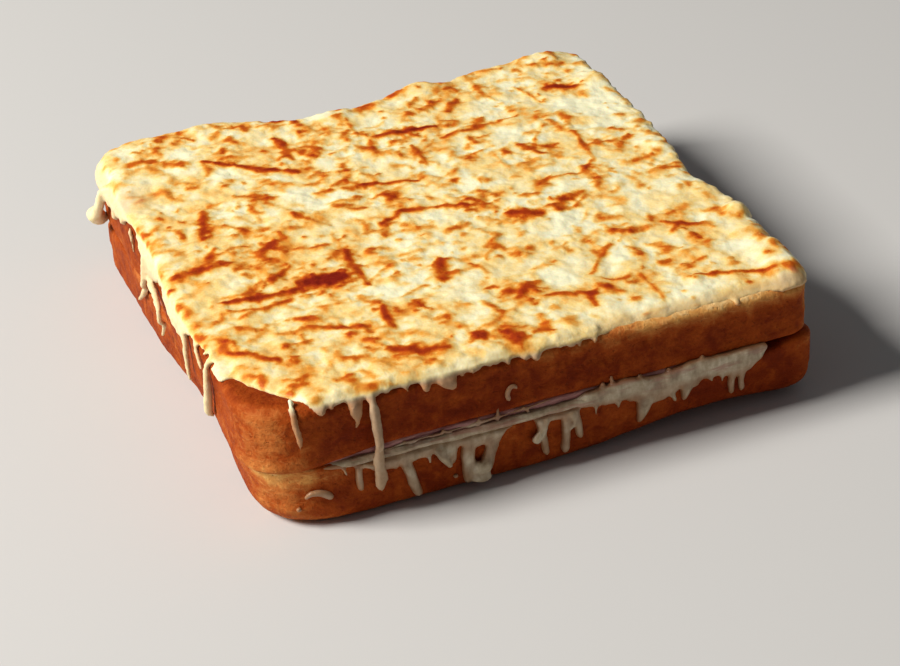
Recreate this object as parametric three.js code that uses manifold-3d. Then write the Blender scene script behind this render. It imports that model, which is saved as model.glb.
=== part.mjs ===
// A croque monsieur: two thick slices of sandwich loaf, melted cheese and a slice of ham between
// them, and a browned sheet of grated cheese on top that has run down over the edges.
// Millimetres, +Z up. The sandwich rests on the underside of its lower slice at z = 0, its front
// faces -Y, and its own middle is put over the origin at the end.
import * as THREE from 'three';
import { mergeVertices } from 'three/addons/utils/BufferGeometryUtils.js';
import { ImprovedNoise } from 'three/addons/math/ImprovedNoise.js';
import Module from 'manifold-3d';

const wasm = await Module();
wasm.setup();

// Driving dimensions
const gap = 0.32; // clear space between the layers
const cutGap = 0.3; // clear space that a cut leaves round what it is cut for
const reach = 58; // half the width of the loaf, which every round blank is turned to
const lowerSliceTop = 12;
const cheeseTop = 13.1;
const hamTop = 14.5;
const upperSliceTop = 26;
const toppingTop = 27.3; // mean height of the gratin, before its lumps
const toppingWall = { round: 0.8, front: 0.3 }; // how far the gratin stands out over the crust
const dripDepth = 1.1; // how proud a run of cheese stands off the crust
const crustRelief = 0.3; // unevenness of the crust
const crustGrain = { across: 0.16, up: 0.3 }; // how fast that unevenness changes, per mm
const rimStart = 0.84; // share of the reach beyond which a layer counts as its rim
const shredRelief = 0.75; // height of the melted shreds on the gratin
const shredGrain = { swell: 0.035, short: 0.1, long: 0.2 }; // how fast they change, per mm

// Each outline has four corners, [x, y, radius], from the front left round to the back left, and
// dents, which shift the edge by move at a place and less and less out to a radius.
const lowerFoot = {
  corners: [[-54.3, -64.2, 15], [57.6, -61.4, 6], [58.4, 58.6, 7], [-57.1, 58.8, 9]],
  dents: [
    { at: [-57, -18], radius: 40, move: [2.3, 0] },
    { at: [36, -61.5], radius: 32, move: [0, 1.2] },
    { at: [-6, 58.5], radius: 27, move: [0, -3.5] },
  ],
};
const lowerCrown = {
  corners: [[-56, -64.1, 14], [57.6, -62.1, 6], [58.4, 59.2, 7], [-57, 59.2, 9]],
  dents: [
    { at: [-57.5, -18], radius: 40, move: [1.9, 0] },
    { at: [-6, 59], radius: 27, move: [0, -4] },
  ],
};
const upperOutline = {
  corners: [[-57.2, -64.2, 14], [57, -62.1, 5], [58, 60.6, 5], [-57, 60.2, 11]],
  dents: [
    { at: [-11, 60], radius: 20, move: [0, -4.6] },
    { at: [8, 60], radius: 44, move: [0, -4] },
    { at: [57, -8], radius: 25, move: [-1.8, 0] },
    { at: [-59, 10], radius: 23, move: [1.2, 0] },
  ],
};
// The gratin leaves the upper slice's front left corner bare
const toppingOutline = {
  corners: upperOutline.corners,
  dents: [...upperOutline.dents, { at: [-56, -62], radius: 14, move: [3.6, 3.6] }],
};
const hamOutline = {
  corners: [[-56, -64.4, 38], [56.4, -61.6, 26], [56.4, 58.2, 8], [-55.6, 58.2, 10]],
  dents: [{ at: [-4, 58.5], radius: 36, move: [0, -5.6] }],
};
const cheeseOutline = {
  corners: [[-55, -65.3, 36], [58.2, -63.1, 28], [59.2, 59.6, 8], [-55.6, 58.6, 10]],
  dents: [{ at: [-4, 59.5], radius: 36, move: [0, -4.6] }],
};

// Where the slices are pinched together, round the front corners
const pinches = [
  { at: [-53, -59], radius: 30, lowerRise: 1.1, upperDrop: 1.3 },
  { at: [56, -61], radius: 17, lowerRise: 2.6, upperDrop: -0.2 },
];

// The lower slice's front edge lifts off the table near its right half
const lift = { at: [36, -62], radius: 40, height: 2.2 };

// Sheets of cheese down a wall: [along the wall, upper height, lower height] at each point
const toppingCurtain = {
  depth: 1.1,
  points: [
    [58, 26.4, 24.4], [55, 26.4, 23.6], [50, 26.4, 22.6], [46, 26.4, 22.2], [41, 26.4, 22],
    [36, 26.4, 22.6], [32, 26.4, 23.4], [27, 26.4, 25], [20, 26.4, 25.4], [16, 26.4, 24],
    [13.4, 26.4, 20.6], [11, 26.4, 18.6], [8, 26.4, 19.6], [5, 26.4, 21], [2, 26.4, 22.4],
    [-2, 26.4, 24.2], [-7, 26.4, 25], [-11, 26.4, 23.6], [-14, 26.4, 22.6], [-18, 26.4, 23],
    [-22, 26.4, 23], [-26, 26.4, 25], [-30, 26.4, 25.6], [-38, 26.4, 25.6], [-47, 26.4, 25.6],
  ],
};
const cheeseCurtain = {
  depth: 0.9,
  points: [
    [-42.6, 13.1, 12.8], [-39.8, 13, 12.2], [-35.6, 12.9, 11.6], [-33.2, 12.9, 9.8],
    [-29.6, 12.9, 9.2], [-27.2, 12.9, 10.2], [-25, 12.9, 10], [-23.2, 12.9, 9.8],
    [-21.6, 12.9, 10.8], [-20.2, 12.9, 7.2], [-18.2, 12.9, 7], [-16.8, 12.9, 10.4],
    [-13.8, 12.9, 9.2], [-9.8, 12.9, 8.6], [-6.8, 12.9, 11.2], [-5, 12.9, 12], [-3, 12.9, 12],
    [-1, 12.9, 11.4], [1.4, 12.9, 10.6], [4.4, 13, 10.4], [7, 13.4, 11.6], [9.4, 14.4, 11.2],
    [12.4, 14.6, 10.8], [14.4, 15, 10.6], [16.4, 15.3, 10.8], [18.4, 15.2, 10],
    [20.4, 14.6, 8.6], [22.6, 14.2, 8.2], [24.6, 14.2, 8.2], [26.6, 14.4, 9], [28.6, 14.8, 9.8],
    [31.4, 15.4, 9.4], [33.4, 15.4, 10.8], [36, 15.2, 10.6], [38.6, 15, 10], [41, 15.1, 9.4],
    [43, 15.2, 10], [45, 15.2, 11.9], [46.8, 15.1, 13.9],
  ],
};

// Runs of cheese down a wall: along the wall from, to; height from, to; width at both ends
const toppingFront = [
  { from: -48.1, to: -47.2, high: 27.8, low: 17.8, width: [2.2, 1.3], out: [-1.2, 0] },
  { from: -43, to: -42.8, high: 27.2, low: 24.1, width: [4.4, 1.4] },
  { from: -37, to: -36.6, high: 27.2, low: 21.8, width: [2.8, 1.2] },
  { from: -34.7, to: -36.7, high: 27.2, low: 19.4, width: [1.5, 1.1] },
  { from: -22.9, to: -22.6, high: 27, low: 23.4, width: [2.6, 1.4] },
  { from: -19.7, to: -17.2, high: 27.2, low: 22.4, width: [6, 2.2] },
  { from: -1, to: -0.6, high: 27, low: 24, width: [3.4, 1.4] },
  { from: 40.9, to: 41, high: 27, low: 23.5, width: [4, 1.4] },
];
const longDrip = {
  from: -33.2, to: -33, high: 27, low: 5.2, width: [2.6, 3.6], waist: 0.55, out: [0.5, 2.1],
};
const toppingLeft = [
  { from: 43.5, to: 51.8, high: 25, low: 11.8, width: [1.8, 4], depth: 1.6, out: [0.4, 2] },
  { from: 12, to: 20, high: 22.4, low: 8.8, width: [2.2, 1.5], out: [0.4, 1.4] },
  { from: -20.8, to: -26.2, high: 25.6, low: 14.2, width: [1.9, 1.3], out: [0.2, 0.8] },
  { from: -38, to: -39.8, high: 26.6, low: 14.2, width: [1.7, 1.9], out: [0, 0.8] },
];
const cheeseFront = [
  { from: -36.2, to: -36.7, high: 12.8, low: 6, width: [1.6, 1.3] },
  { from: -27.6, to: -26.2, high: 12.4, low: 1, width: [2.6, 1.9] },
  { from: -14.6, to: -16.3, high: 12.6, low: 1, width: [3.2, 2.4] },
  { from: -8.8, to: -13.5, high: 12.6, low: 1, width: [3.2, 2.4] },
  { from: -0.6, to: 0.1, high: 13, low: 2.8, width: [2.4, 1.3] },
  { from: -1, to: -2.3, high: 9.6, low: 5.9, width: [1.6, 2] },
  { from: 5.2, to: 3.8, high: 13, low: 2.1, width: [2.4, 1.8] },
  { from: 6.2, to: 7.4, high: 13, low: 4.6, width: [3, 1.3] },
  { from: 22.2, to: 19.6, high: 12.6, low: 4.3, width: [5, 1.7] },
  { from: 30.6, to: 29.3, high: 12.6, low: 6.6, width: [3.8, 1.6] },
  { from: 39.3, to: 39.5, high: 13, low: 4.9, width: [2.2, 1.4] },
  { from: 42, to: 41.5, high: 13, low: 5.1, width: [2, 1.3] },
];

// Walls without their own lists get sheets and runs drawn at random, with this seed
const seed = 17;
const hiddenWalls = {
  toppingRight: { along: [-54, 52], count: 4, high: [26.6, 27], low: [22.4, 25.2], width: [4, 9] },
  toppingBack: { along: [-50, 50], count: 4, high: [26.6, 27], low: [21, 25], width: [4, 10] },
  cheeseRight: { along: [-44, 50], count: 3, high: [12.4, 13], low: [3.5, 8], width: [2, 4] },
  cheeseBack: { along: [-46, 48], count: 3, high: [12.4, 13], low: [4, 8], width: [2, 4] },
};
const hiddenCurtains = {
  cheeseRight: { along: [-38, 46], count: 14, high: 12.9, low: [8.6, 11.6], depth: 0.9 },
  cheeseBack: { along: [-41, 40], count: 14, high: 12.9, low: [8.6, 11.6], depth: 0.9 },
};

// Lumps of cheese that stand up along the gratin's back and right rims
const rimLumps = [
  { at: [-32, 59], radius: 7, rise: 0.8 },
  { at: [-5, 53], radius: 9, rise: 1 },
  { at: [18, 57], radius: 10, rise: 1.6 },
  { at: [49, 58], radius: 9, rise: 0.9 },
  { at: [56, 41], radius: 9, rise: 1.2 },
  { at: [55, 3], radius: 8, rise: 1 },
  { at: [54, -18], radius: 8, rise: 0.7 },
  { at: [55, -31], radius: 8, rise: 2.2 },
  { at: [55, -40], radius: 7, rise: 0.8 },
  { at: [55, -49], radius: 9, rise: 1.6 },
  { at: [54, -57], radius: 8, rise: 1.4 },
];

// Dabs of cheese splashed on the crusts
const upperDabs = [
  { from: -5.2, to: -7.2, high: 21, low: 18.8, width: [1.4, 1.2], depth: 0.7 },
  { from: -7.2, to: -6.9, high: 19.8, low: 17.2, width: [1.2, 0.8], depth: 0.6 },
];
const lowerDabs = [
  { from: -43.6, to: -47.6, high: 9.8, low: 8, width: [2.2, 1.2], depth: 0.7 },
  { from: -44.4, to: -41.8, high: 9.8, low: 5.6, width: [2, 1.2], depth: 0.6 },
];

const noise = new ImprovedNoise();

function smoothstep(low, high, value) {
  return THREE.MathUtils.smoothstep(value, low, high);
}

// How strongly a place on the loaf feels something centred at `at`: 1 there, 0 beyond its radius
function nearness(x, y, { at, radius }) {
  const share = ((x - at[0]) ** 2 + (y - at[1]) ** 2) / radius ** 2;
  return Math.max(0, 1 - share) ** 3;
}

// How far the pinches shift a slice's face at a place
function pinched(x, y, shift) {
  return pinches.reduce((sum, pinch) => sum + pinch[shift] * nearness(x, y, pinch), 0);
}

// ---- Outlines ----

// Gives the point of a four-cornered outline for a turn from 0 to 4: a whole number is the middle
// of a corner, and the side that follows it runs on to the next one.
function outlineOf({ corners, dents }) {
  const points = corners.map(([x, y]) => new THREE.Vector2(x, y));
  const towards = (from, to, distance) => from.clone().lerp(to, distance / from.distanceTo(to));
  const rounded = corners.map(([, , radius], i) => {
    const corner = points[i];
    const start = towards(corner, points[(i + 3) % 4], radius);
    const end = towards(corner, points[(i + 1) % 4], radius);
    const middle = start.clone().add(end).addScaledVector(corner, 2).divideScalar(4);
    return {
      arriving: new THREE.QuadraticBezierCurve(start, start.clone().lerp(corner, 0.5), middle),
      leaving: new THREE.QuadraticBezierCurve(middle, corner.clone().lerp(end, 0.5), end),
    };
  });
  const sides = rounded.map(({ leaving }, i) => {
    const { arriving } = rounded[(i + 1) % 4];
    const side = new THREE.CurvePath();
    side.add(leaving);
    side.add(new THREE.LineCurve(leaving.v2, arriving.v0));
    side.add(arriving);
    return side;
  });
  return (turn) => {
    const whole = Math.floor(turn + 1e-9);
    const point = sides[whole % 4].getPointAt(THREE.MathUtils.clamp(turn - whole, 0, 1));
    const { x, y } = point;
    for (const dent of dents) {
      const share = nearness(x, y, dent);
      point.x += dent.move[0] * share;
      point.y += dent.move[1] * share;
    }
    return point;
  };
}

// More of a side's divisions lie near its corners, where it curves most
function easeTurn(turn) {
  const crowding = 0.5;
  return turn - (crowding * Math.sin(2 * Math.PI * turn)) / (2 * Math.PI);
}

// ---- Layers: bread, ham and cheese ----

// How far the edge of a layer draws in at a height, where its rims are rounded
function insetAt(layer, z) {
  const { bottom, top, lowRim, highRim } = layer;
  const below = THREE.MathUtils.clamp((bottom + lowRim.height - z) / lowRim.height, 0, 1);
  const above = THREE.MathUtils.clamp((z - top + highRim.height) / highRim.height, 0, 1);
  const low = lowRim.width * (1 - Math.sqrt(1 - below ** 2));
  const high = highRim.width * (1 - Math.sqrt(1 - above ** 2));
  return low + high;
}

// The wall of a layer at a turn and a height
function edgeAt(layer, turn, z) {
  const share = THREE.MathUtils.clamp((z - layer.bottom) / (layer.top - layer.bottom), 0, 1);
  return layer.foot(turn).lerp(layer.crown(turn), share);
}

// The half profile of a layer, from the axis at the bottom to the axis at the top
function profileOf(layer, grow) {
  const { bottom, top, lowRim, highRim, rings, rimSteps, wallSteps } = layer;
  const points = [];
  const quarter = Math.PI / 2;
  const innerRings = rings.map((share) => share * reach);
  for (const radius of innerRings) {
    points.push(new THREE.Vector2(radius, bottom - grow));
  }
  for (let i = 0; i <= rimSteps; i += 1) {
    const angle = (i / rimSteps) * quarter;
    const radius = reach + grow - lowRim.width * (1 - Math.sin(angle));
    points.push(new THREE.Vector2(radius, bottom - grow + lowRim.height * (1 - Math.cos(angle))));
  }
  const wallLow = bottom - grow + lowRim.height;
  const wallHigh = top + grow - highRim.height;
  for (let i = 1; i < wallSteps; i += 1) {
    points.push(new THREE.Vector2(reach + grow, wallLow + ((wallHigh - wallLow) * i) / wallSteps));
  }
  for (let i = rimSteps; i >= 0; i -= 1) {
    const angle = (i / rimSteps) * quarter;
    const radius = reach + grow - highRim.width * (1 - Math.sin(angle));
    points.push(new THREE.Vector2(radius, top + grow - highRim.height * (1 - Math.cos(angle))));
  }
  for (const radius of innerRings.toReversed()) {
    points.push(new THREE.Vector2(radius, top + grow));
  }
  return points;
}

// A disc turned on a lathe, then squared to the layer's outlines and given its unevenness. Grown by
// a distance, the same shape is the tool that cuts its neighbours clear of it.
function layerSolid(layer, grow = 0) {
  const geometry = new THREE.LatheGeometry(profileOf(layer, grow), layer.around);
  geometry.rotateX(Math.PI / 2);
  const position = geometry.attributes.position;
  for (let i = 0; i < position.count; i += 1) {
    const radius = Math.hypot(position.getX(i), position.getY(i));
    const angle = Math.atan2(position.getY(i), position.getX(i));
    const z = position.getZ(i);
    const turn = ((2 * angle) / Math.PI + 4) % 4;
    const edge = edgeAt(layer, Math.floor(turn + 1e-6) + easeTurn(Math.max(turn % 1, 0)), z);
    const outward = edge.clone().normalize();
    const x = (edge.x * radius) / reach;
    const y = (edge.y * radius) / reach;
    const nearEdge = smoothstep(rimStart, 1, radius / reach);
    const { across, up } = crustGrain;
    const bump = layer.relief * nearEdge * noise.noise(x * across, y * across, z * up + layer.bottom);
    const share = THREE.MathUtils.clamp((z - layer.bottom) / (layer.top - layer.bottom), 0, 1);
    position.setXYZ(i, x + outward.x * bump, y + outward.y * bump, z + layer.warp(x, y, share, nearEdge));
  }
  return solidOf(geometry);
}

// ---- Solids ----

function solidOf(geometry) {
  geometry.deleteAttribute('normal');
  geometry.deleteAttribute('uv');
  const merged = mergeVertices(geometry, 1e-4);
  return new wasm.Manifold(new wasm.Mesh({
    numProp: 3,
    vertProperties: new Float32Array(merged.attributes.position.array),
    triVerts: new Uint32Array(merged.index.array),
  }));
}

function joined(solids) {
  return solids.reduce((sum, solid) => sum.add(solid));
}

// The largest connected body of a solid, without the loose scraps that a cut leaves
function mainBody(solid) {
  const bodies = solid.decompose();
  return bodies.reduce((best, body) => (body.volume() > best.volume() ? body : best));
}

function meshOf(name, solid, { color, roughness }) {
  const { vertProperties, triVerts } = mainBody(solid).getMesh();
  const geometry = new THREE.BufferGeometry();
  geometry.setAttribute('position', new THREE.BufferAttribute(vertProperties, 3));
  geometry.setIndex(new THREE.BufferAttribute(triVerts, 1));
  geometry.computeVertexNormals();
  const mesh = new THREE.Mesh(geometry, new THREE.MeshStandardMaterial({ color, roughness, metalness: 0 }));
  mesh.name = name;
  return mesh;
}

// ---- Runs of cheese ----

const walls = {
  front: { side: 0, axis: 'x' },
  right: { side: 1, axis: 'y' },
  back: { side: 2, axis: 'x' },
  left: { side: 3, axis: 'y' },
};

// The point on one wall of a layer at a place along it and a height, with its outward direction
function wallPoint(layer, wall, along, z) {
  const { side, axis } = walls[wall];
  const samples = 240;
  const step = 1 / samples;
  let best = null;
  for (let i = 0; i <= samples; i += 1) {
    const point = edgeAt(layer, side + i * step, z);
    const miss = Math.abs(point[axis] - along);
    if (best === null || miss < best.miss) {
      best = { turn: side + i * step, point, miss };
    }
  }
  const before = edgeAt(layer, (best.turn - step + 4) % 4, z);
  const after = edgeAt(layer, (best.turn + step) % 4, z);
  const tangent = after.sub(before).normalize();
  const outward = new THREE.Vector2(tangent.y, -tangent.x);
  const inset = insetAt(layer, z);
  return { point: best.point.addScaledVector(outward, -inset), tangent, outward };
}

const broadRun = 3; // width from which a run counts as broad
const ringHeight = 2.2; // height that one ring of a run spans
const ringCount = [5, 8]; // fewest and most rings in a run
const runForms = {
  broad: { sides: 8, bluntness: 2.4 },
  thin: { sides: 6, bluntness: 4 },
};

const curtainForm = {
  rows: 3, // divisions from the upper edge to the lower one
  thinnest: 0.3, // thickness at the lower edge
  root: 2, // how far the back reaches into the crust
  bulge: [1.2, 2.6], // rise over the slice from which, and by which, a sheet swings clear of its rim
  swell: 0.35, // share by which the thickness varies
  grain: [0.21, 0.3], // how fast it varies along and down, per mm
};

// A ball stretched down a wall: wide where it leaves the cheese, narrow at its tip, with its back
// half inside the crust, which cuts it off
function runSolid(layer, wall, run, grow = 0) {
  const { from, to, high, low, width, depth = dripDepth, waist = 1, out = [0, 0] } = run;
  const broad = Math.max(...width) > broadRun;
  const { sides, bluntness } = broad ? runForms.broad : runForms.thin;
  const rings = Math.round(THREE.MathUtils.clamp((high - low) / ringHeight, ...ringCount));
  const geometry = new THREE.SphereGeometry(1, sides, rings);
  const position = geometry.attributes.position;
  for (let i = 0; i < position.count; i += 1) {
    const polar = Math.acos(THREE.MathUtils.clamp(position.getY(i), -1, 1));
    const around = Math.atan2(position.getZ(i), position.getX(i));
    const share = polar / Math.PI;
    const fullness = Math.sqrt(1 - Math.abs(2 * share - 1) ** bluntness);
    const z = THREE.MathUtils.lerp(high + grow, low - grow, share);
    const along = THREE.MathUtils.lerp(from, to, share);
    const narrowing = 1 - (1 - waist) * Math.sin(Math.PI * share) ** 2;
    const halfWidth = (THREE.MathUtils.lerp(width[0], width[1], share) / 2) * narrowing + grow;
    const halfDepth = Math.min(halfWidth, depth + grow);
    const { point, tangent, outward } = wallPoint(layer, wall, along, z);
    const away = gap + THREE.MathUtils.lerp(out[0], out[1], Math.min(1, 2 * share));
    point.addScaledVector(tangent, Math.cos(around) * halfWidth * fullness);
    point.addScaledVector(outward, away + Math.sin(around) * halfDepth * fullness);
    position.setXYZ(i, point.x, point.y, z);
  }
  return outwardFacing(geometry);
}

// A sheet down a wall: a box with one column for each of its points. Its back is inside the crust,
// which cuts it off, and it is thinnest at its ragged edges.
function curtainSolid(layer, wall, { depth, points }) {
  const { rows, thinnest, root, bulge, swell, grain } = curtainForm;
  const geometry = new THREE.BoxGeometry(2, 2, 2, points.length - 1, rows, 1);
  const position = geometry.attributes.position;
  for (let i = 0; i < position.count; i += 1) {
    const column = Math.round(((position.getX(i) + 1) / 2) * (points.length - 1));
    const down = (1 - position.getY(i)) / 2;
    const [along, high, low] = points[column];
    const z = THREE.MathUtils.lerp(high, low, down);
    const { point, outward } = wallPoint(layer, wall, along, z);
    const overhang = insetAt(layer, z) * smoothstep(layer.top + bulge[0], layer.top + bulge[1], high);
    const variation = 1 + swell * noise.noise(along * grain[0], z * grain[1], layer.bottom + 0.5);
    const fullness = Math.sqrt(1 - down ** 3) * variation;
    const away = gap + overhang + thinnest + (depth - thinnest) * fullness;
    point.addScaledVector(outward, position.getZ(i) > 0 ? away : -root);
    position.setXYZ(i, point.x, point.y, z);
  }
  return outwardFacing(geometry);
}

// The solid of a geometry that a mapping may have turned inside out
function outwardFacing(geometry) {
  const index = geometry.index.array;
  const solid = solidOf(geometry.clone());
  if (solid.volume() > 0) {
    return solid;
  }
  for (let i = 0; i < index.length; i += 3) {
    [index[i], index[i + 1]] = [index[i + 1], index[i]];
  }
  return solidOf(geometry);
}

// A Lehmer generator of repeatable random numbers from 0 to 1
function randomFrom(start) {
  const multiplier = 48271;
  const modulus = 2147483647;
  let state = start;
  return () => {
    state = (state * multiplier) % modulus;
    return state / modulus;
  };
}

function drawnRuns(plan, random) {
  const between = ([low, high]) => THREE.MathUtils.lerp(low, high, random());
  return Array.from({ length: plan.count }, (_, i) => {
    const pitch = (plan.along[1] - plan.along[0]) / plan.count;
    const from = plan.along[0] + pitch * (i + 0.2 + 0.6 * random());
    const width = between(plan.width);
    return {
      from,
      to: from + (random() - 0.5) * 1.5,
      high: between(plan.high),
      low: between(plan.low),
      width: [width, width * (0.35 + 0.3 * random())],
    };
  });
}

// A sheet whose lower edge wanders between two heights and meets its upper edge at both ends
function drawnCurtain({ along, count, high, low, depth }, random) {
  const points = Array.from({ length: count }, (_, i) => {
    const atEnd = i === 0 || i === count - 1;
    const place = THREE.MathUtils.lerp(along[0], along[1], i / (count - 1));
    return [place, high, atEnd ? low[1] : THREE.MathUtils.lerp(low[0], low[1], random())];
  });
  return { depth, points };
}

// ---- The sandwich ----

const lowerSlice = {
  bottom: 0,
  top: lowerSliceTop,
  foot: outlineOf(lowerFoot),
  crown: outlineOf(lowerCrown),
  lowRim: { width: 3, height: 3.6 },
  highRim: { width: 1, height: 1.2 },
  rings: [0, rimStart],
  rimSteps: 2,
  wallSteps: 3,
  around: 64,
  relief: crustRelief,
  warp: (x, y, share, nearEdge) => pinched(x, y, 'lowerRise') * share
    + lift.height * nearness(x, y, lift) * nearEdge * (1 - share),
};

const upperSlice = {
  bottom: hamTop + gap,
  top: upperSliceTop,
  foot: outlineOf(upperOutline),
  crown: outlineOf(upperOutline),
  lowRim: { width: 1, height: 1.2 },
  highRim: { width: 1.6, height: 1.6 },
  rings: [0, rimStart],
  rimSteps: 2,
  wallSteps: 3,
  around: 64,
  relief: crustRelief,
  warp: (x, y, share) => -pinched(x, y, 'upperDrop') * (1 - share),
};

const hamSlice = {
  bottom: cheeseTop + gap,
  top: hamTop,
  foot: outlineOf(hamOutline),
  crown: outlineOf(hamOutline),
  lowRim: { width: 0.4, height: 0.4 },
  highRim: { width: 0.4, height: 0.4 },
  rings: [0, rimStart],
  rimSteps: 1,
  wallSteps: 1,
  around: 40,
  relief: 0.5,
  warp: () => 0,
};

const cheeseSheet = {
  bottom: lowerSliceTop + gap,
  top: cheeseTop,
  foot: outlineOf(cheeseOutline),
  crown: outlineOf(cheeseOutline),
  lowRim: { width: 0.3, height: 0.3 },
  highRim: { width: 0.3, height: 0.3 },
  rings: [0, rimStart],
  rimSteps: 1,
  wallSteps: 1,
  around: 40,
  relief: 0.5,
  warp: () => 0,
};

// Melted shreds: ridges of noise stretched two ways over a broad swell, and the lumps at the rim
function toppingRelief(x, y) {
  const { short, long } = shredGrain;
  const swell = noise.noise(x * shredGrain.swell, y * shredGrain.swell, 2.5);
  const across = noise.noise(x * short, y * long, 5.1);
  const along = noise.noise(x * long, y * short, 9.7);
  const lumps = rimLumps.reduce((sum, lump) => sum + lump.rise * nearness(x, y, lump), 0);
  return shredRelief * (0.5 * swell + Math.max(across, along)) + lumps;
}

const sheet = {
  cells: 26, // divisions along each edge
  levels: 2, // divisions down the skirt
  skirt: { round: 25.3, front: 26.6 }, // height of the skirt's lower edge
  frontSpan: [0.45, 0.65], // where the rim passes from its round to its front values
  skirtRelief: 0.3, // unevenness of that edge
  skirtGrain: 0.2, // how fast it changes, per mm
  rimDraw: 0.5, // how far the rim draws in over the skirt
  rimDrop: 0.4, // how far the rim lies below the face
  bandDraw: 1.4, // how far in the first ring of the face lies
  bandDrop: 1.4, // how far the skirt's middle lies below the face
};

// A box whose top is the gratin's face. Its cells follow the outline in square rings.
function toppingSheet() {
  const { cells, levels, skirt, frontSpan, skirtRelief, skirtGrain, rimDraw, rimDrop } = sheet;
  const { bandDraw, bandDrop } = sheet;
  const outline = outlineOf(toppingOutline);
  const geometry = new THREE.BoxGeometry(2, 2, 2, cells, cells, levels);
  const position = geometry.attributes.position;
  for (let i = 0; i < position.count; i += 1) {
    const u = position.getX(i);
    const v = position.getY(i);
    const face = position.getZ(i);
    const ring = Math.max(Math.abs(u), Math.abs(v));
    const onWall = ring > 1 - 1e-6;
    const onRim = onWall && face > 1 - 1e-6;
    const edge = outline(squareTurn(u, v, ring));
    const outward = edge.clone().normalize();
    const frontShare = onWall ? smoothstep(...frontSpan, -outward.y) : 0;
    const stand = THREE.MathUtils.lerp(toppingWall.round, toppingWall.front, frontShare);
    const wallDraw = (onRim ? rimDraw : 0) - stand;
    const draw = onWall ? wallDraw : bandDraw + (1 - 2 / cells - ring) * reach;
    const x = edge.x - outward.x * draw;
    const y = edge.y - outward.y * draw;
    const wallDrop = onRim ? rimDrop : bandDrop;
    const top = toppingTop - (onWall ? wallDrop : 0) + toppingRelief(x, y) * (onWall ? 0.5 : 1);
    const lowest = THREE.MathUtils.lerp(skirt.round, skirt.front, frontShare);
    const low = lowest + skirtRelief * (1 - frontShare) * noise.noise(x * skirtGrain, y * skirtGrain, 1);
    position.setXYZ(i, x, y, THREE.MathUtils.lerp(low, top, (face + 1) / 2));
  }
  return solidOf(geometry);
}

// The turn of the outline that a place in a square from -1 to 1 belongs to
function squareTurn(u, v, ring) {
  if (ring < 1e-6) {
    return 0;
  }
  const across = u / ring;
  const deep = v / ring;
  if (deep <= -1 + 1e-6) {
    return easeTurn((across + 1) / 2);
  }
  if (across >= 1 - 1e-6) {
    return 1 + easeTurn((deep + 1) / 2);
  }
  if (deep >= 1 - 1e-6) {
    return 2 + easeTurn((1 - across) / 2);
  }
  return 3 + easeTurn((1 - deep) / 2);
}

const random = randomFrom(seed);
const runsOn = (layer, wall, runs) => runs.map((run) => runSolid(layer, wall, run));

const lowerCut = layerSolid(lowerSlice, cutGap);
const upperCut = layerSolid(upperSlice, cutGap);
const hamCut = layerSolid(hamSlice, cutGap);
const longDripCut = runSolid(upperSlice, 'front', longDrip, cutGap);

const bottomBread = joined([
  layerSolid(lowerSlice),
  ...runsOn(lowerSlice, 'front', lowerDabs),
]);
const topBread = joined([
  layerSolid(upperSlice),
  ...runsOn(upperSlice, 'front', upperDabs),
]);
const ham = layerSolid(hamSlice).subtract(lowerCut).subtract(upperCut);
const filling = joined([
  layerSolid(cheeseSheet),
  curtainSolid(lowerSlice, 'front', cheeseCurtain),
  ...runsOn(lowerSlice, 'front', cheeseFront),
  curtainSolid(lowerSlice, 'right', drawnCurtain(hiddenCurtains.cheeseRight, random)),
  ...runsOn(lowerSlice, 'right', drawnRuns(hiddenWalls.cheeseRight, random)),
  curtainSolid(lowerSlice, 'back', drawnCurtain(hiddenCurtains.cheeseBack, random)),
  ...runsOn(lowerSlice, 'back', drawnRuns(hiddenWalls.cheeseBack, random)),
]).subtract(lowerCut).subtract(upperCut).subtract(hamCut).subtract(longDripCut);
const topping = joined([
  toppingSheet(),
  runSolid(upperSlice, 'front', longDrip),
  ...runsOn(upperSlice, 'front', toppingFront),
  curtainSolid(upperSlice, 'left', toppingCurtain),
  ...runsOn(upperSlice, 'left', toppingLeft),
  ...runsOn(upperSlice, 'right', drawnRuns(hiddenWalls.toppingRight, random)),
  ...runsOn(upperSlice, 'back', drawnRuns(hiddenWalls.toppingBack, random)),
]).subtract(upperCut).subtract(lowerCut);

const sandwich = new THREE.Group();
sandwich.add(
  meshOf('bread_bottom', bottomBread, { color: 0xa4521c, roughness: 0.75 }),
  meshOf('cheese_filling', filling, { color: 0xd6d0a8, roughness: 0.4 }),
  meshOf('ham', ham, { color: 0xc98a84, roughness: 0.45 }),
  meshOf('bread_top', topBread, { color: 0x9a481a, roughness: 0.75 }),
  meshOf('cheese_topping', topping, { color: 0xf4dca0, roughness: 0.45 }),
);

// The middle of the whole sandwich goes over the origin
const middle = new THREE.Box3().setFromObject(sandwich).getCenter(new THREE.Vector3());
sandwich.position.set(-middle.x, -middle.y, 0);

export default sandwich;
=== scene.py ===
import math

import bmesh
import bpy
import numpy as np
from mathutils import Matrix, Vector, noise
from mathutils.bvhtree import BVHTree


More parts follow.
